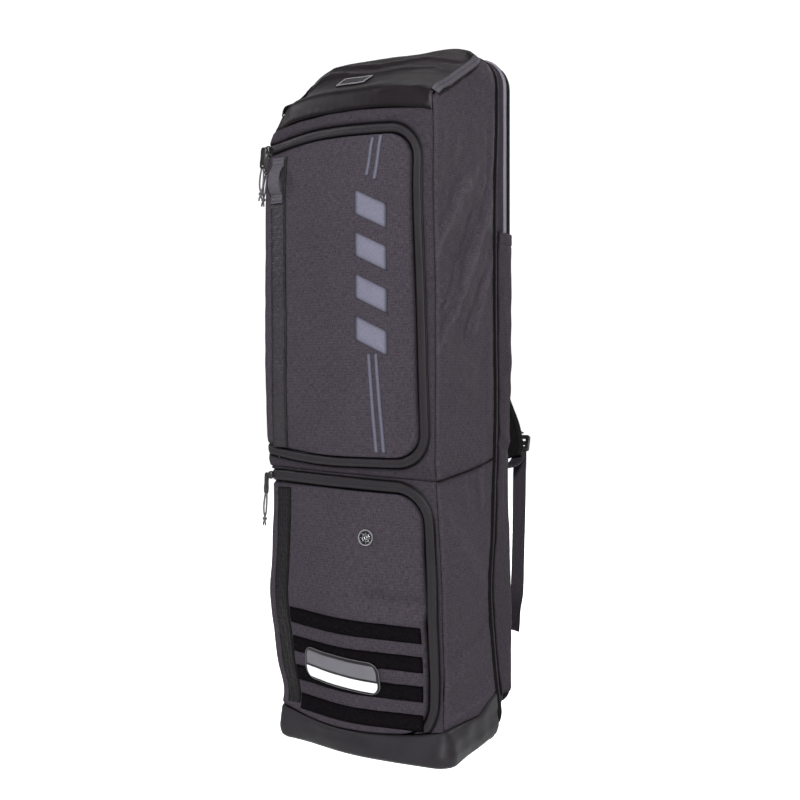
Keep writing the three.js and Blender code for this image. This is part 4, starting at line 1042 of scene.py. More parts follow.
def make_hip_strips():
    part = HIP_STRIP
    v = np.linspace(part.start, part.stop, 60)
    seat = lid_edge(v)
    ahead = unit(lid_edge(v + 0.01) - lid_edge(v - 0.01))
    outward = unit(HIP_FACING - ahead * (ahead @ HIP_FACING)[:, None])
    step = lengths(seat)[:, None]
    c = np.linspace(-1, 1, 17)
    off = c * part.width / 2
    crown = 0.9 * (1 - c**2) - 0.6 * bell(c, 0.09) - 0.5 * (np.abs(c) > 0.99)
    ends = smoothstep(v, part.start, part.start + part.end) * smoothstep(part.stop - v, 0, part.end)
    rise = part.clear + part.thick + crown + 0.25 * ripple(step, 9 * c, 22, 5)
    rise = rise - part.tuck * (1 - ends)[:, None]
    strip = raised(raised(seat[:, None], np.cross(ahead, outward)[:, None], off), outward[:, None], rise)
    # Painted shade along both edges of the strip and along its middle fold
    dark = np.clip(bell(1 - np.abs(c), 0.14) + 0.3 * bell(c, 0.09), 0, 1) + 0 * rise
    for name, side in SIDES.items():
        flip = np.array([side, 1, 1])
        walled(f"hip_strip_{name}", strip * flip, (outward * flip)[:, None], part.thick, "grey_webbing",
               grid(off, step), dark, [f"lid_strip_{name}"], flat=strip, rests_on=["lid_cloth"])


def make_badge():
    part = BADGE
    middle = np.array([part.x / LID_SIZE[0], part.at])
    reach = np.array([part.width, part.length]) / 2 / LID_SIZE
    u, v = (middle[k] + reach[k] * np.linspace(-1, 1, count) for k, count in enumerate((34, 24)))
    places = grid(u, v[:, None])
    lift = ON_CLOTH + part.thick
    cloth("badge", places, "zip", lid_height(*split(places)) + lift, part.thick, seam=(0.9, 2), on_lid=True,
          stands_for=["lid_badge"], rests_on=["lid_cloth"])
    corners = [(-1, -1), (1, -1), (1, 1), (-1, 1), (-1, -1)]
    ring = np.concatenate([np.linspace(corners[k], corners[k + 1], 14)[:-1] for k in range(4)])
    u, v = split(middle + ring * (reach - part.rim / LID_SIZE))
    line = raised(lid_point(u, v), lid_normal(u, v), lid_height(u, v) + lift)
    tube("badge_rim", line, part.rim, "rim", closed=True)


# Doors
def narrowed(places):
    """The lower door narrows towards the boot, and so do the pieces on it."""
    a, z = split(places)
    return grid(a * section(z).half / LOWER_SCALE, z)


def bend_upper(a, z):
    """Place on the arched upper door of one on a straight door."""
    door, arch = UPPER_DOOR, UPPER_ARCH
    share = (z - door.bottom) / (door.top - door.bottom)
    away = (a - arch.peak) / arch.reach
    top_drop = np.where(away < 0, arch.left, arch.right) * away**2
    bottom_rise = arch.bottom_rise * (np.maximum(0, -a) / LOWER_SCALE) ** 2
    slanted = a - arch.slant * (z - arch.level) * (a / door.right)
    return grid(slanted, z + lerp(bottom_rise, -top_drop, share))


def bend_lower(a, z):
    """Place on the narrowed lower door of one on a straight door."""
    door = LOWER_DOOR
    foot = door.bottom + door.zip
    share = np.maximum(0, (z - foot) / (door.top - foot))
    top = door.top - WAIST.fall * (a / door.right)
    return narrowed(grid(a, lerp(boot_height(a) + BOOT.clear, top, share)))


def door_rows(door, inset):
    """Straight rows of a door from its foot up: height, right-hand end, turn and which end it is at."""
    radius = door.corner - inset
    middle = door.right - door.corner
    high, low = door.top - door.corner, door.bottom + door.corner
    rows = [(low - radius * np.sin(t), middle + radius * np.cos(t), t, -1) for t in door.turns[::-1]]
    rows += [(z, door.right - inset, 0, 0) for z in np.linspace(low, high, door.levels + 1)[1:-1]]
    return rows + [(high + radius * np.sin(t), middle + radius * np.cos(t), t, 1) for t in TURNS]


def bent_row(row, bend):
    """Places of one straight row, bent to the bag: round the left corner, then evenly to the right end."""
    z, right = row[:2]
    height = bend(-LOWER_SCALE, z)[1]
    flat = section(height).flat
    left = np.linspace(left_seam(height) + LEFT_WRAP.clear, -(flat + QUARTER / 2), DOOR_COLUMNS.corner)
    corner = grid(left, bend(left, z)[:, 1])
    across = bend(np.linspace(-flat, right, DOOR_COLUMNS.across), z)
    join = np.linspace(corner[-1], across[0], DOOR_COLUMNS.join + 1)[1:-1]
    return np.concatenate([corner, join, across])


def round_door(rows, has_foot, along, beside):
    """Line round a door: along its top, down its right side, and back along its foot where it has one."""
    parts = [along(rows[-1]), np.array([beside(*row) for row in rows[-2::-1]], float)]
    if has_foot:
        parts.append(along(rows[0])[-2::-1])
    return np.concatenate(parts)


def door_line(door, inset, bend):
    return round_door(door_rows(door, inset), door.turns is TURNS, lambda row: bent_row(row, bend),
                      lambda z, right, turn, end: bend(right, z))


def frame_line(door, bend, top_edge, foot_edge):
    """Outer edge of the front panel round a door, point by point opposite the door's own line."""
    has_foot = door.turns is TURNS

    def seam(z):
        return corner_seam(z) - GAP

    def along(row):
        edge = top_edge if row[3] > 0 else foot_edge
        a = bent_row(row, bend)[:, 0]
        count = DOOR_COLUMNS.corner + DOOR_COLUMNS.join - 1
        a[:count] = np.linspace(left_seam(edge(a[0])) + LEFT_WRAP.clear, a[count], count + 1)[:-1]
        return grid(a, edge(a))

    def beside(z, right, turn, end):
        if end == 0:
            return seam(z), bend(right, z)[1]
        edge = top_edge if end > 0 else foot_edge
        corner = edge(seam(edge(door.right)))
        level = door.top - door.corner if end > 0 else door.bottom + door.corner
        slope = np.tan(turn) / (1 if end > 0 or has_foot else np.tan(FRAME_LIMIT))
        if slope <= 1.001:
            height = lerp(bend(door.right, level)[1], corner, min(slope, 1) ** FRAME_CROWDING)
            return seam(height), height
        a = lerp(bend(door.right - door.corner, z)[0], seam(corner), 1 / slope)
        return a, edge(a)

    return round_door(door_rows(door, 0), has_foot, along, beside)


def zip_band(name, first, second, stands_for):
    """Covered zip: a plain coated band with a faint closing line, sunk edges and a row of stitches."""
    shares = np.linspace(0, 1, ZIP_COLUMNS.all)
    a, z = split(between(first, second, shares))
    points, normals = body_point(a, z), body_normal(a, z)
    wide = np.linalg.norm(points[:, -1] - points[:, 0], axis=1)[:, None]
    step = lengths(points[:, ZIP_COLUMNS.middle])[:, None]
    off = (shares - 0.5) * wide
    inner, outside = off + wide / 2, wide / 2 - off
    lift = 0.5 * bell(off, 4) - 0.3 * bell(off, 0.6) - 0.2 + 0.12 * ripple(step, off, 17, 21)
    outer = raised(points, normals, lift - 3.6 * bell(inner, 2.2) - 2.6 * bell(outside, 1.6))
    # Painted shade along the sunk edges and, faintly, along the closing line
    dark = np.clip(bell(inner, 2.9, 4) + bell(outside, 1.9, 4) + 0.3 * bell(off, 0.8), 0, 1)
    walled(name, outer, normals, WALL, "zip", grid(off, step), dark, stands_for, flat=points)
    sewn, up = outer[:, ZIP_COLUMNS.stitched], normals[:, ZIP_COLUMNS.stitched]
    stitches(name + "_stitches", [(sewn + up * 0.05, up)], wide=0.6, proud=0.25)


def make_front(name, door, bend, height, top_edge, foot_edge):
    """Zip, frame and door of the upper or lower front."""
    def line(inset):
        return door_line(door, inset, bend)

    zip_band(f"{name}_zip_tape", line(door.zip - GAP), line(GAP), [f"{name}_zip"])
    rim = line(-GAP)
    inset = door.zip + GAP
    rows = door_rows(door, inset)
    count = len(rim)
    if door.turns is FOOT_TURNS:
        count -= (FOOT_TURNS > FRAME_LIMIT + 0.001).sum()
        rows.insert(0, (door.bottom + inset, door.right - door.corner))
    frame_edge = frame_line(door, bend, top_edge, foot_edge)
    places = between(rim[:count], frame_edge[:count], FRAME_COLUMNS)
    # The front frames take the darker heather as painted shade, with painted shade along their door edge
    cloth(f"front_{name}_cloth", places, "back_heather", front_height(*split(places)), edges="lr",
          seam=(2.0, 4.0), dark_edges="l", stands_for=[f"front_{name}"])
    places = np.array([bent_row(row, bend) for row in rows])
    cloth(f"{name}_door_cloth", places, "heather", height(*split(places)), edges="tbr",
          stands_for=[f"{name}_door"])


# Sides and base
def column_place(side, share, z):
    seam = corner_seam(z) + GAP if side > 0 else LEFT_WRAP.clear - left_seam(z)
    return side * lerp(seam, rear_seam(z), share)


def hip_columns(count):
    """Shares of the way back for a side panel's columns, and the height of its top edge at each."""
    v = np.linspace(LID["v"][1], 1, count)
    y, z = lid_at("edge_y", v), lid_at("edge_z", v)
    share = (side_place(y, z) - corner_seam(z)) / (rear_seam(z) - corner_seam(z))
    share[0], share[-1] = 0, 1
    return np.maximum.accumulate(share), z - HIP_STRIP.drop


def side_height(y, z):
    """Folds and ripples of a side, with a slack drape across its upper half."""
    slack = smoothstep(z, 480, 600) * (1 - smoothstep(z, 830, 900))
    drape = ripple(0.84 * y - 0.54 * z, (0.54 * y + 0.84 * z) / 5, 26, 33)
    return side_relief(y, z) + 0.9 * slack * drape


def make_sides():
    share, top = hip_columns(96)
    for name, side in SIDES.items():
        waist = waist_height(column_place(side, share, WAIST.height))
        boot = boot_height(column_place(side, share, BOOT.corner)) + BOOT.clear
        for part, low, high, count in (("upper", waist + GAP, top, 230), ("lower", boot, waist - GAP, 110)):
            z = lerp(low[:, None], high[:, None], np.linspace(0, 1, count))
            a = column_place(side, share[:, None], z)
            y = body_point(a, z)[..., 1]
            level = z if side > 0 else z + LEFT_FOLDS_LOWER
            way = np.abs(a)
            inside = smoothstep(way - corner_seam(z), 2, 22) * smoothstep(rear_seam(z) - way, 2, 20)
            height = side_height(y, level) * (0.2 + 0.8 * inside)
            # A painted highlight along the sides' fold crests lightens their colour
            cloth(f"side_{part}_{name}_cloth", grid(a, z), "side_heather", height, seam=(2.0, 4.4),
                  dark_edges="blr", worn=crests(y, level, SIDE_FOLDS), stands_for=[f"side_{part}_{name}"])


def make_boot():
    lanes = np.concatenate([np.linspace(0, 1, 40)[:-1], np.linspace(1, 2, 90)[:-1], np.linspace(2, 3, 40)])

    def ways(z):
        rear, seam = rear_seam(z), section(z).flat + QUARTER
        return np.interp(lanes, range(4), [-rear, -seam, seam, rear])

    top = boot_height(ways(BOOT.corner))
    rear_share = np.linspace(0.97, -0.97, 44)

    def loop(share, floor, inset):
        z = lerp(floor, top, share)
        a = np.array([ways(h)[i] for i, h in enumerate(z)])
        outward = unit(body_normal(a, z) * (1, 1, 0))
        soft = 0.5 * ripple(a, 3 * z, 60, 41) * smoothstep(z, 6, 20) * smoothstep(top - z, 0, 10)
        foot = 1 - share**2
        flare = BOOT_FLARE.out * foot * bell(a - BOOT_FLARE.middle, BOOT_FLARE.reach)
        p = raised(body_point(a, z), outward, soft - 1.6 * near_edge(top - z, 5) + flare - inset)
        p[[0, -1], 1] -= inset
        p[:, 2] += BOOT_FLARE.rear_rise * foot * smoothstep(np.abs(a), *BOOT_FLARE.rear)
        level = lerp(floor, BOOT.lip, share)
        s = section(level)
        return np.concatenate([p, grid((s.half - inset) * rear_share, s.rear - inset - GAP, level)])

    levels = np.concatenate([np.linspace(0, 0.35, 12), np.linspace(0.35, 1, 16)[1:]])
    outer = [loop(t, 0, 0) for t in levels]
    loops = np.array(outer + [loop(t, BOOT.floor, BOOT.wall) for t in levels[::-3]])
    loft("boot", loops, "boot", grid(lengths(outer[6]), loops[..., 2]), ["base_boot"])


# Back
def ring_outline(foot, inset):
    """Closed outline of the back ring in X and Z, set in by inset, with its foot at a height."""
    half = RING.half - inset
    top, bottom = RING.top - inset, foot + inset
    upper, lower = (max(corner - inset, RING.sharpest) for corner in (RING.corner, RING.foot_corner))

    def turned(x, z, radius, start):
        t = np.linspace(start, start + pi / 2, RING.arc)
        return grid(x + radius * np.cos(t), z + radius * np.sin(t))

    heights = np.linspace(bottom + lower, top - upper, RING.side)[1:-1]
    places = np.linspace(half - upper, upper - half, RING.across)[1:-1]
    return np.concatenate([
        turned(half - lower, bottom + lower, lower, -pi / 2),
        grid(half, heights),
        turned(half - upper, top - upper, upper, 0),
        grid(places, top),
        turned(upper - half, top - upper, upper, pi / 2),
        grid(-half, heights[::-1]),
        turned(lower - half, bottom + lower, lower, pi),
        grid(-places * (half - lower) / max(half - upper, 1e-6), bottom),
    ])


def ring_ladder():
    """Faces that close the back's outline with rungs from its right side to its left, so it can bend."""
    first, last = RING.arc - 1, RING.arc + RING.side - 2
    mirror = 2 * (2 * RING.arc + RING.side - 2) + RING.across - 3
    count = mirror + RING.across - 1
    rungs = [[mirror - i, mirror - i - 1, i + 1, i] for i in range(first, last)]
    top = np.arange(last, mirror - last + 1)[::-1]
    foot = np.arange(mirror - first, count + first + 1)[::-1] % count
    return rungs + [top, foot]


def ring_loop(foot, inset, y):
    """Loop of points round the back; y is a function of the height or one number."""
    x, z = split(ring_outline(foot, inset))
    return grid(x, y(z) if callable(y) else y, z)


def make_rings():
    step = lengths(ring_outline(FOOT.zip, 0))

    def ring(name, loops, finish, pitch, stands_for):
        uv = grid(pitch * np.arange(len(loops))[:, None], step)
        return loft(name, np.array(loops), finish, uv, stands_for, closed=True)

    def zip_loop(t, proud):
        return ring_loop(FOOT.zip, REAR_ZIP.recess - proud,
                         lambda z: rear_line(z) + lerp(REAR_ZIP.clear, REAR_ZIP.width, t))

    def gusset_loop(t, inset):
        return ring_loop(lerp(FOOT.gusset, FOOT.panel, t), inset,
                         lambda z: lerp(rear_line(z) + REAR_ZIP.width + GAP, GUSSET.end, t))

    loops = []
    for t in np.linspace(0, 1, 21):
        beads = 1.4 * (bell(t - 0.2, 0.11) + bell(t - 0.8, 0.11))
        loops.append(zip_loop(t, beads + 0.5 * bell(t - 0.5, 0.1)))
    loops += [zip_loop(t, -WALL) for t in (1, 0.5, 0)]
    ring("rear_zip_band", loops, "rear_zip", 3.0 * len(loops) / (len(loops) - 1), ["rear_zip"])

    wavy = 0.7 * ripple(step, 0 * step, 70, 51) * ring_outline(0, 0)[:, 0] / RING.half
    loops = []
    for t in np.linspace(0, 1, 15):
        sag = np.sin(pi * t) + near_edge(min(t, 1 - t), GUSSET.hem)
        loops.append(gusset_loop(t, GUSSET.sag * sag))
        loops[-1][:, 0] += np.sin(pi * t) * wavy
    shown_loops = np.array(loops)
    loops += [gusset_loop(t, WALL + 2.2) for t in (1, 0.5, 0)]
    made = ring("gusset_cloth", loops, "back_heather", 3.0, ["back_gusset"])
    flat_size(shown_loops)


def make_piping():
    path = ring_outline(FOOT.panel, 0)
    hem = SLEEVE.top + 2 * GAP
    path = np.concatenate([[[RING.half, hem]], path[path[:, 1] > SLEEVE.top + 4], [[-RING.half, hem]]])
    round_half = RING.half - RING.corner
    x, z = split(path)
    middle = grid(np.clip(x, -round_half, round_half), np.minimum(z, RING.top - RING.corner))
    out = unit(path - middle)
    turn = np.linspace(0, pi, 11)
    lift = np.concatenate([PIPING.proud * np.sin(turn), [-PIPING.deep, -PIPING.deep]])
    y = (PIPING.front + PIPING.back - (PIPING.back - PIPING.front) * np.cos(turn)) / 2
    y = np.concatenate([y, [PIPING.back, PIPING.front]])
    x, z = split(raised(path[:, None], out[:, None], lift))
    uv = grid(1.2 * np.arange(len(lift)), lengths(path)[:, None])
    loft("piping_strip", grid(x, y, z), "piping", uv, ["back_piping"])


def make_back():
    front, back, edge = PANEL.front, PANEL.back, PANEL.round
    profile = [(PANEL.inset, front + GAP), (PANEL.rim, front), (PANEL.lip, front), (0, front + PANEL.lip)]
    turn = np.linspace(0.05, pi / 2, 9)
    profile += zip(edge * (1 - np.cos(turn)), back - edge + edge * np.sin(turn))
    profile += [(inset, back) for inset in np.linspace(edge + 3, PANEL.middle, 34)]
    loops = []
    for inset, y in profile:
        loop = ring_loop(FOOT.panel, inset, y)
        if inset > edge and y >= back:
            bare = smoothstep(loop[:, 2], SLEEVE.top + 2, SLEEVE.top + 40)
            crown = 3.0 * (1 - np.exp(-(inset - edge) / 22)) - 2.0 * bell(inset - 15, 3)
            loop[:, 1] += bare * (crown + 0.4 * ripple(loop[:, 0], loop[:, 2], 60, 52))
        loops.append(loop)
    x, y, z = np.moveaxis(np.array(loops), -1, 0)
    made = loft("back_padding", grid(x, y, z), "mesh", grid(x + y, z), ["back_panel"], last_cap=ring_ladder())


def sleeve_row(z, columns):
    """Points and outward directions along one level of the sleeve, from its right front edge round."""
    half = RING.half + SLEEVE.clear + SLEEVE.thick
    rear = PANEL.back + SLEEVE.clear + SLEEVE.thick
    radius = SLEEVE.corner + SLEEVE.thick
    front = rear_line(z) + SLEEVE.edge
    straight, quarter = rear - radius - front, radius * pi / 2
    way = (1 - np.abs(columns)) * (straight + quarter + half - radius)
    turn = np.clip((way - straight) / radius, 0, pi / 2)
    past = np.maximum(way - straight - quarter, 0)
    x = np.where(way < straight, half, half - radius + radius * np.cos(turn) - past)
    y = np.where(way < straight, front + way, rear - radius + radius * np.sin(turn))
    side = np.where(columns < 0, -1, 1)
    return grid(side * x, y, z), grid(side * np.cos(turn), np.sin(turn), 0)


def make_sleeve():
    half = np.concatenate([1 - np.linspace(0, 0.26, 26), np.linspace(0.74, 0.0, 56)[1:]])
    columns = np.concatenate([half, -half[-2::-1]])
    low_hem = SLEEVE.top - 22
    below, beside = np.linspace(SLEEVE.bottom, low_hem, 130), np.linspace(low_hem, SLEEVE.top, 14)
    levels = np.concatenate([below, beside[1:]])
    points, normals = np.array([sleeve_row(z, columns) for z in levels]).swapaxes(0, 1)
    step = lengths(points[60])
    x, y, z = np.moveaxis(points, -1, 0)
    from_hem = SLEEVE.top - SLEEVE.hem - z
    away = edge_distance(points, "tblr")
    lift = np.maximum(0.5 + 0.9 * ripple(step, z, 110, 61) + 0.35 * ripple(step, z, 36, 62), 0.1)
    hem = smoothstep(-from_hem, 0, 1.2) - 0.9 * bell(from_hem - SLEEVE.groove, 0.9)
    lift = lift + 0.9 * hem - near_edge(away, 2.5) + folds(y, z, SLEEVE_FOLDS) * (np.abs(x) > 120)
    outer = raised(points, normals, lift)
    # The sleeve's seam values are painted shade along its edges
    walled("sleeve_cloth", outer, normals, SLEEVE.thick, "back_heather", grid(step, z), np.exp(-away / 1.6),
           ["back_sleeve"], flat=points, rests_on=["back_padding"])
    rows = [int(np.argmin(np.abs(levels - (SLEEVE.top - drop)))) for drop in SLEEVE.stitched]
    lines = [(outer[k] + normals[k] * 0.1, normals[k]) for k in rows]
    stitches("sleeve_stitches", lines, "pale_thread", wide=0.7)


# Straps
def ribbon_frame(line, turn):
    """Directions across and out of a strap that follows a line and turns about it."""
    along = unit(np.gradient(line, axis=0))
    sideways = np.array([1.0, 0, 0])
    across = unit(sideways - along * (along @ sideways)[:, None])
    outward = np.cross(across, along)
    c, s = np.cos(turn)[..., None], np.sin(turn)[..., None]
    return across * c - outward * s, outward * c + across * s


def strap_line(tab, side, z):
    """Line of a strap or tail, from its table."""
    return grid(side * curve_through(tab, "z", "x", z), curve_through(tab, "z", "y", z), z)


def webbing(name, line, turn, stands_for, wave=0.0, held="stretched"):
    """Flat webbing along a line, its edges a little thinner than its middle."""
    across, outward = ribbon_frame(line, turn)
    step = lengths(line)[:, None]
    c = np.linspace(-1, 1, 13)
    off = c * WEBBING.width / 2
    lift = WEBBING.thick / 2 - WEBBING.edge * np.abs(c) ** 6 + wave * ripple(step, 8 * c, 30, 71)
    outer = raised(raised(line[:, None], across[:, None], off), outward[:, None], lift)
    walled(name, outer, outward[:, None], WEBBING.thick, "black_webbing", grid(off, step), None, stands_for,
           flat=outer, held=held)
    return outer, outward


def make_strap(name, side):
    z = np.linspace(STRAP["z"][0], STRAP["z"][-1], 90)
    line = strap_line(STRAP, side, z)
    half = curve_through(STRAP, "z", "half", z)
    across, outward = ribbon_frame(line, np.zeros(len(z)))
    turn = np.linspace(0, 2 * pi, 44, endpoint=False)
    ways = ((np.cos(turn), STRAP_POWERS.wide), (np.sin(turn), STRAP_POWERS.deep))
    wide, deep = (np.sign(way) * np.abs(way) ** power for way, power in ways)
    step = lengths(line)
    puff = 1 - 0.12 * bell(np.abs(wide) - 0.8, 0.06)
    thick = STRAP_THICK / 2 * (1 + 0.06 * ripple(step, 0 * step, 60, 72))
    off = half[:, None] * wide
    loops = raised(line[:, None], across[:, None], off)
    loops = raised(loops, outward[:, None], thick[:, None] * deep * puff)
    made = loft(f"strap_padding_{name}", loops, "mesh", grid(off, step[:, None]), [f"shoulder_strap_{name}"])
    for edge, sign in (("inner", -1), ("outer", 1)):
        make_binding(f"strap_binding_{name}_{edge}", line, across * sign, outward, half, step)
    ends = []
    for drop in (4, 26):
        k = int(np.argmin(np.abs(z - (STRAP["z"][-1] - drop))))
        up = outward[k] * np.sign(outward[k][1])
        row = line[k] + across[k] * np.linspace(-0.72, 0.72, 30)[:, None] * half[k]
        row = row + up * (STRAP_THICK / 2 + 0.3)
        ends.append((row, np.broadcast_to(up, row.shape)))
    stitches(f"strap_stitches_{name}", ends, "pale_thread")


def make_binding(name, line, across, outward, half, step):
    """Tape folded over one edge of a strap."""
    turn = np.linspace(-BINDING.turn, BINDING.turn, 13)
    seat = raised(line, across, half - BINDING.reach + BINDING.over)
    deep = (STRAP_THICK / 2 - 0.1) * np.clip(1.15 * np.sin(turn), -1, 1)
    outer = raised(seat[:, None], across[:, None], BINDING.reach * np.cos(turn))
    outer = raised(outer, outward[:, None], deep)
    normals = raised(raised(0 * seat[:, None], across[:, None], np.cos(turn)), outward[:, None], np.sin(turn))
    normals = unit(normals)
    uv = grid(turn * BINDING.reach, step[:, None])
    walled(name, raised(outer, normals, BINDING.thick / 2), normals, BINDING.thick, "binding", uv)


def make_lock(name, side):
    slot = (LOCK.height - 3 * LOCK.bar) / 2
    shift = (slot + LOCK.bar) / 2
    outlines = [rectangle(LOCK.width, LOCK.height, 3)]
    outlines += [rectangle(LOCK.width - 2 * LOCK.bar, slot, 0.9, (0, way * shift))[::-1] for way in (-1, 1)]
    turn = Matrix.Rotation(pi / 2 + LOCK.tilt, 4, "X")
    back = Matrix.Translation((0, 0, LOCK.thick / 2))
    matrix = Matrix.Translation((side * LOCK.x, LOCK.y + LOCK.thick / 2, LOCK.z)) @ turn @ back
    plate(f"lock_{name}", outlines, LOCK.thick, 0.7, "plastic", matrix, [f"ladder_lock_{name}"])


def make_straps():
    for name, side in SIDES.items():
        make_strap(name, side)
        make_lock(name, side)
        for run, replaced, route in WEBBING_ROUTES:
            line = smooth_line(np.array(route) * (side, 1, 1), 40)
            webbing(f"{run}_webbing_{name}", line, np.zeros(40), [f"{replaced}_{name}"])
        z = np.linspace(TAIL["z"][-1], TAIL["z"][0], 110)
        turn = side * curve_through(TAIL, "z", "turn", z)
        line = strap_line(TAIL, side, z)
        outer, outward = webbing(f"tail_webbing_{name}", line, turn, [f"webbing_tail_{name}"], wave=0.25,
                                 held="hung")
        rows = [outer[k, 1:-1] + outward[k] * 0.1 for k in (-4, -8)]
        lines = [(row, np.broadcast_to(outward[k], row.shape)) for row, k in zip(rows, (-4, -8))]
        stitches(f"tail_stitches_{name}", lines, "pale_thread", pitch=2.6, long=2.0)


# Pieces on the doors
def on_door(part, columns, rows, fall=0):
    a = np.linspace(part.left, part.right, columns)
    z = np.linspace(part.bottom, part.top, rows)[:, None]
    return grid(a, z - fall * a)


def door_surface(a, z, height, lift):
    return raised(body_point(a, z), body_normal(a, z), height(a, z) + lift)


def make_tapes():
    lift = ON_CLOTH + TAPE_THICK
    for name, part, height, shape, finish in (
        ("upper", UPPER_TAPE, upper_height, np.array, "bright_tape"),
        ("lower", LOWER_TAPE, lower_height, narrowed, "tape"),
    ):
        columns = TAPE_GRID.columns
        places = shape(on_door(part, columns, int((part.top - part.bottom) / TAPE_GRID.row)))
        a, z = split(places)
        turn = 2 * pi / TAPE_GRID.pattern
        pattern = 0.5 * np.sin(turn * (a + 0.6 * z)) * np.sin(turn * (a - 0.6 * z))
        pattern = pattern + 0.4 * ripple(a, z, 10, 3)
        raise_by = np.sin(pi * np.linspace(0, 1, columns)) ** 0.5 * pattern
        cloth(f"{name}_tape_cloth", places, finish, height(a, z) + lift + raise_by, TAPE_THICK,
              seam=(0.9, 2.2), pucker=0.1, stands_for=[f"{name}_tape"], rests_on=[f"{name}_door_cloth"])
        outer, normals = door_surface(a, z, height, lift + 0.2), body_normal(a, z)
        lines = [(outer[:, k], normals[:, k]) for k in TAPE_GRID.stitched]
        stitches(f"{name}_tape_stitches", lines, pitch=4.4, long=3.0, wide=1.3)


def make_loop_strips():
    rng = np.random.default_rng(SEED)
    lift = ON_CLOTH + LOOP_STRIP.thick
    for i, (level, fall) in enumerate(LOOP_STRIP_LEVELS):
        half = LOOP_STRIP.height / 2
        part = Sizes(**vars(LOOP_STRIP), bottom=level - half, top=level + half)
        places = narrowed(on_door(part, 100, 16, fall))
        cloth(f"loop_strip_{i + 1}_base", places, "pile", lower_height(*split(places)) + lift, part.thick,
              seam=(1.1, 2.4), pucker=0.15, stands_for=[f"loop_strip_{i + 1}"], rests_on=["lower_door_cloth"])
        a = rng.uniform(part.left + part.margin, part.right - part.margin, part.tufts)
        z = rng.uniform(part.bottom + part.margin, part.top - part.margin, part.tufts)
        a, z = split(narrowed(grid(a, z - fall * a)))
        seat = door_surface(a, z, lower_height, lift - 0.2)
        make_tufts(f"loop_strip_{i + 1}_pile", seat, body_normal(a, z), rng)


def make_tufts(name, seat, normals, rng):
    """Short bent loops of pile, each a small three-sided spike."""
    lean = rng.normal(0, 0.45, seat.shape)
    tip = raised(seat, unit(normals + lean), rng.uniform(0.9, 1.6, len(seat)))
    turn = rng.uniform(0, 2 * pi, len(seat))
    across = unit(np.cross(normals, (0.0, 0, 1.0)))
    rise = np.cross(across, normals)
    turns = [turn + k * 2 * pi / 3 for k in range(3)]
    points = [raised(raised(seat, across, 0.55 * np.cos(t)), rise, 0.55 * np.sin(t)) for t in turns]
    points = np.stack([*points, tip], 1)
    faces = 4 * np.arange(len(seat))[:, None, None] + np.array([(0, 1, 3), (1, 2, 3), (2, 0, 3), (0, 2, 1)])
    piece(name, points, faces.reshape(-1, 3), "pile", points[..., [0, 2]])


def patch_rows(inset, low, high, columns, rows):
    """Places of the name patch or a part of it between two shares of its height, narrowing to its ends."""
    v = np.linspace(low, high, rows)[:, None]
    pulled = PATCH.round * (1 - np.sqrt(1 - np.clip((np.abs(v) - 0.3) / 0.7, 0, 1) ** 2))
    c = (PATCH.width / 2 - pulled - inset) * np.linspace(-1, 1, columns)
    return grid(PATCH.a + c, PATCH.z + v * (PATCH.height / 2) + PATCH.tilt * c)


def make_patch():
    lift = ON_CLOTH + LOOP_STRIP.thick + ON_CLOTH + PATCH.thick
    for name, finish, inset, low, high, rows, extra, thick, stands_for in PATCH_PARTS:
        places = patch_rows(inset, low, high, 90, rows)
        soft = 0.3 * ripple(*split(places), 50, 81)
        # The patch's painted shade reaches only about 0.6 mm in from its edges
        cloth(name, places, finish, lift + extra + soft, thick, seam=(0.8, 1.8), shade=0.6, pucker=0,
              is_sheet=False, stands_for=stands_for)
    a, z = split(rim_of(patch_rows(0.6, -0.985, 0.985, 40, 30)))
    line = raised(body_point(a, z), body_normal(a, z), lift - 0.7 + 0.3 * ripple(a, z, 50, 81))
    tube("patch_outline", line, 0.45, "patch_field", sides=8, closed=True)


def make_grey_loop():
    part = GREY_LOOP
    foot, bow = np.linspace(part.bottom, part.low, 8), np.linspace(part.low, part.high, 48)[1:-1]
    z = np.concatenate([foot, bow, np.linspace(part.high, part.top, 8)])[:, None]
    c = np.linspace(-1, 1, 15)
    places = grid(part.a + c * part.width / 2, z)
    t = np.clip((z - part.low) / (part.high - part.low), 0, 1)
    seat = ON_CLOTH + TAPE_THICK + GAP + part.thick + 0.5
    lift = seat + part.rise * np.sin(pi * t) ** 0.7 + upper_height(*split(places)) - 0.4 * np.abs(c) ** 6
    cloth("grey_loop", places, "grey_webbing", lift, part.thick, edges="", pucker=0,
          stands_for=["webbing_loop"], rests_on=["upper_tape_cloth"])
    a = part.a + GREY_LOOP_STITCHES.reach * np.linspace(-1, 1, 30)
    lines = [(door_surface(a, level, upper_height, seat + 0.1), body_normal(a, level))
             for level in GREY_LOOP_STITCHES.levels]
    stitches("grey_loop_stitches", lines, pitch=2.2, long=1.9, wide=1.0)


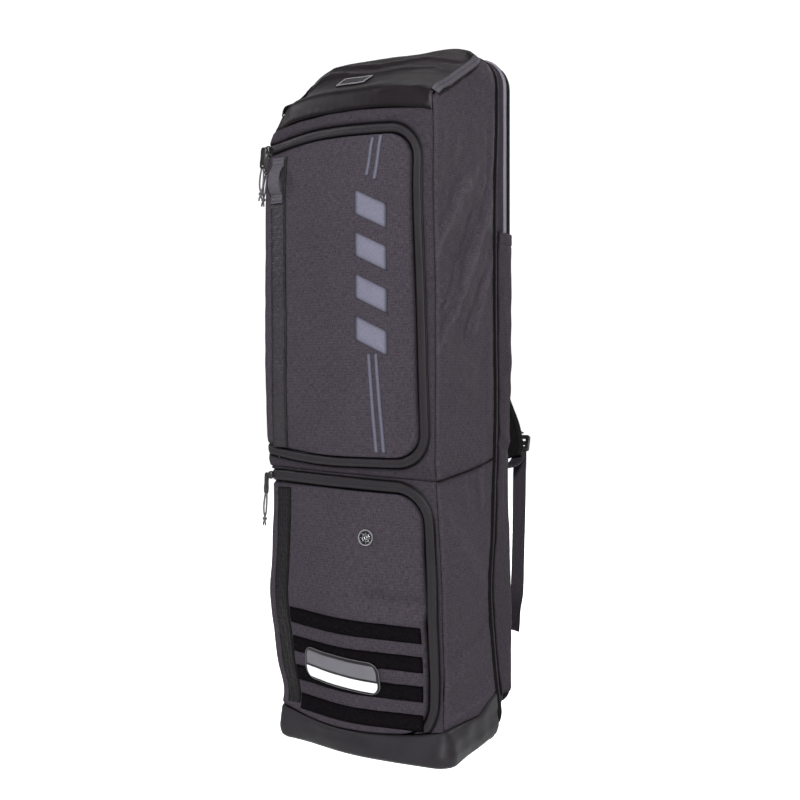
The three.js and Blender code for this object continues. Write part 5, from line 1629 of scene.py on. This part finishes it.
def make_vent():
    """Round vent: a turned rim, a black well, and a grille of spokes and rings."""
    outward = body_normal(VENT.a, VENT.z)
    across = unit(np.cross((0, 0, 1), outward))
    axes = np.stack([across, np.cross(outward, across), outward])
    seat = door_surface(VENT.a, VENT.z, lower_height, GAP)
    turn = np.linspace(0, 2 * pi, 64, endpoint=False)
    radius, hole, rim = VENT.radius, VENT.hole, VENT.rim

    def circle(r, level):
        return grid(r * np.cos(turn), r * np.sin(turn), level)

    def turned(name, profile, stands_for=()):
        loops = np.array([circle(r, level) for r, level in profile])
        loft(name, loops @ axes + seat, "plastic", loops[..., :2], stands_for, closed=True)

    bend = np.linspace(0, pi / 2, 7)
    lip = zip(radius - 1.5 + 1.5 * np.cos(bend), rim - 1.2 + 1.2 * np.sin(bend))
    turned("vent_rim", [(radius, 0), *lip, (hole + 0.7, rim), (hole, rim - 0.8), (hole, 0)], ["vent_eyelet"])
    turned("vent_well", [(hole + 0.2, 0.1), (hole + 0.2, 0.5), (0.05, 0.5), (0.05, 0.1)])
    wire, level = VENT.wire, VENT.level
    rings = [(r, level, wire, "steel") for r in VENT.rings] + [(radius - 0.9, rim - 0.3, 2 * wire, "rim")]
    for k, (r, height, thick, finish) in enumerate(rings):
        tube(f"vent_ring_{k + 1}", circle(r, height) @ axes + seat, thick, finish, sides=8, closed=True)
    reach = np.linspace(1.2, 8.2, 12)
    for k in range(VENT.spokes):
        t = k * 2 * pi / VENT.spokes
        line = grid(reach * np.cos(t), reach * np.sin(t), level)
        tube(f"vent_spoke_{k + 1}", line @ axes + seat, wire, "steel", sides=8)


def make_prints():
    """Plain stripes and bars printed on the upper door."""
    bar = PRINT_BARS
    bars = list(PRINT_STRIPES)
    for level in bar.levels:
        low, high = level - bar.height / 2, level + bar.height / 2
        right = [(bar.right, low - bar.lean), (bar.right, high - bar.lean)]
        bars.append(((bar.left, low), *right, (bar.left, high)))
    for k, corners in enumerate(bars):
        low = np.linspace(corners[0], corners[1], 10)
        high = np.linspace(corners[3], corners[2], 10)
        places = between(low, high, np.linspace(0, 1, 60)).transpose(1, 0, 2)
        cloth(f"print_stripe_{k + 1}", places, "print", upper_height(*split(places)) + 0.45, 0.3,
              seam=(0.2, 1), pucker=0, is_sheet=False)


def make_pulls():
    low, high = TAB.above - TAB.length, TAB.above
    right = [
        # share of the tab's width, height
        (0.30, low), (0.46, low + 2.0), (0.5, low + 9), (0.42, low + 15), (0.42, high - 4), (0.34, high - 1),
        (0.16, high),
    ]
    right = np.array(right) * (TAB.width, 1)
    outline = [*right, *(right[::-1] * (-1, 1))]
    hole = rectangle(3.4, 2.6, 1.2, (0, low + 3.6))[::-1]

    def out(distance):
        return Matrix.Translation((0, 0, distance))

    for pull in PULLS:
        seat, over = slider_matrix(pull), hang_matrix(pull)
        body = rectangle(SLIDER.length, SLIDER.height, SLIDER.round)
        plate(f"slider_body_{pull.name}", [body], SLIDER.thick, 1.1, "plastic",
              seat @ out(pull.lift + SLIDER.thick / 2), [f"slider_{pull.name}"])
        plate(f"slider_bridge_{pull.name}", [rectangle(4.4, 8.4, 1.6)], 2.0, 0.7, "plastic",
              seat @ out(pull.lift + SLIDER.thick + 0.7))
        plate(f"tab_{pull.name}", [outline, hole], TAB.thick, 0.7, "plastic", over, [f"pull_tab_{pull.name}"])
        for k in range(TAB.grips):
            grip = rectangle(5.6, 1.1, 0.5, (0, low + 9 + 2.6 * k))
            plate(f"tab_grip_{pull.name}_{k + 1}", [grip], 0.9, 0.35, "plastic",
                  over @ out(TAB.thick / 2 + 0.1))


# Floor and light
def far_side(tree, place, start, stop, low, high):
    """Value that rises from low to high towards the far side of the bag."""
    away = (-np.sin(CAMERA.azimuth), np.cos(CAMERA.azimuth), 0)
    behind = node(tree, "VectorMath", {0: place, 1: away}, out="Value", operation="DOT_PRODUCT")
    rise = dict(enumerate([behind, start, stop, low, high]))
    return node(tree, "MapRange", rise, interpolation_type="SMOOTHSTEP")


def make_stage():
    turn = np.linspace(0, 2 * pi, FLOOR.around, endpoint=False)
    reach = np.concatenate([[0.001], np.linspace(0.2, 3.4, 16), np.geomspace(4, FLOOR.reach, 10)])[:, None]
    points = grid(reach * np.cos(turn), reach * np.sin(turn), 0).reshape(-1, 3)
    numbers = np.arange(len(points)).reshape(len(reach), -1)
    mesh = bpy.data.meshes.new("floor")
    mesh.from_pydata(points.tolist(), [], quads(numbers, wrap_columns=True)[:, ::-1].tolist())
    map_cloth(mesh, points[:, :2] / MM)
    pale = grain_material("pale_floor", (FLOOR.dark,) * 3, (FLOOR.light,) * 3, 90.0, 0.8, 0.0)
    mesh.materials.append(pale)
    tree = pale.node_tree
    inputs = tree.nodes["Principled BSDF"].inputs
    inputs["Emission Color"].default_value = (1, 1, 1, 1)
    glow = far_side(tree, node(tree, "UVMap", uv_map="cloth"), FLOOR.start, FLOOR.stop, 0.0, FLOOR.glow)
    feed(tree, inputs["Emission Strength"], glow)
    shown("floor", mesh)


def make_light():
    world = bpy.data.worlds.new("studio")
    bpy.context.scene.world = world
    world.use_nodes = True
    inputs = world.node_tree.nodes["Background"].inputs
    inputs["Color"].default_value = (1, 1, 1, 1)
    way = node(world.node_tree, "TexCoord", out="Generated")
    white = far_side(world.node_tree, way, BACKDROP.start, BACKDROP.stop, BACKDROP.air, BACKDROP.white)
    feed(world.node_tree, inputs["Strength"], white)
    for name, place, size, power in LIGHTS:
        data = bpy.data.lights.new(name, "AREA")
        data.shape = "DISK"
        data.size = size
        data.energy = power
        light = shown(name, data)
        light.location = place
        light.rotation_euler = (LIT_PLACE - Vector(place)).to_track_quat("-Z", "Y").to_euler()
    bpy.context.scene.view_settings.view_transform = "Standard"


make_camera()
make_cords()
make_lid()
make_hip_strips()
make_badge()
make_front("upper", UPPER_DOOR, bend_upper, upper_height,
           lambda a: lid_front(a) - 2 * GAP, lambda a: waist_height(a) + GAP)
make_front("lower", LOWER_DOOR, bend_lower, lower_height,
           lambda a: waist_height(a) - GAP, lambda a: boot_height(a) + BOOT.clear)
make_sides()
make_boot()
make_rings()
make_piping()
make_back()
make_sleeve()
make_tapes()
make_loop_strips()
make_patch()
make_grey_loop()
make_vent()
make_prints()
make_pulls()
make_straps()
make_stage()
make_light()
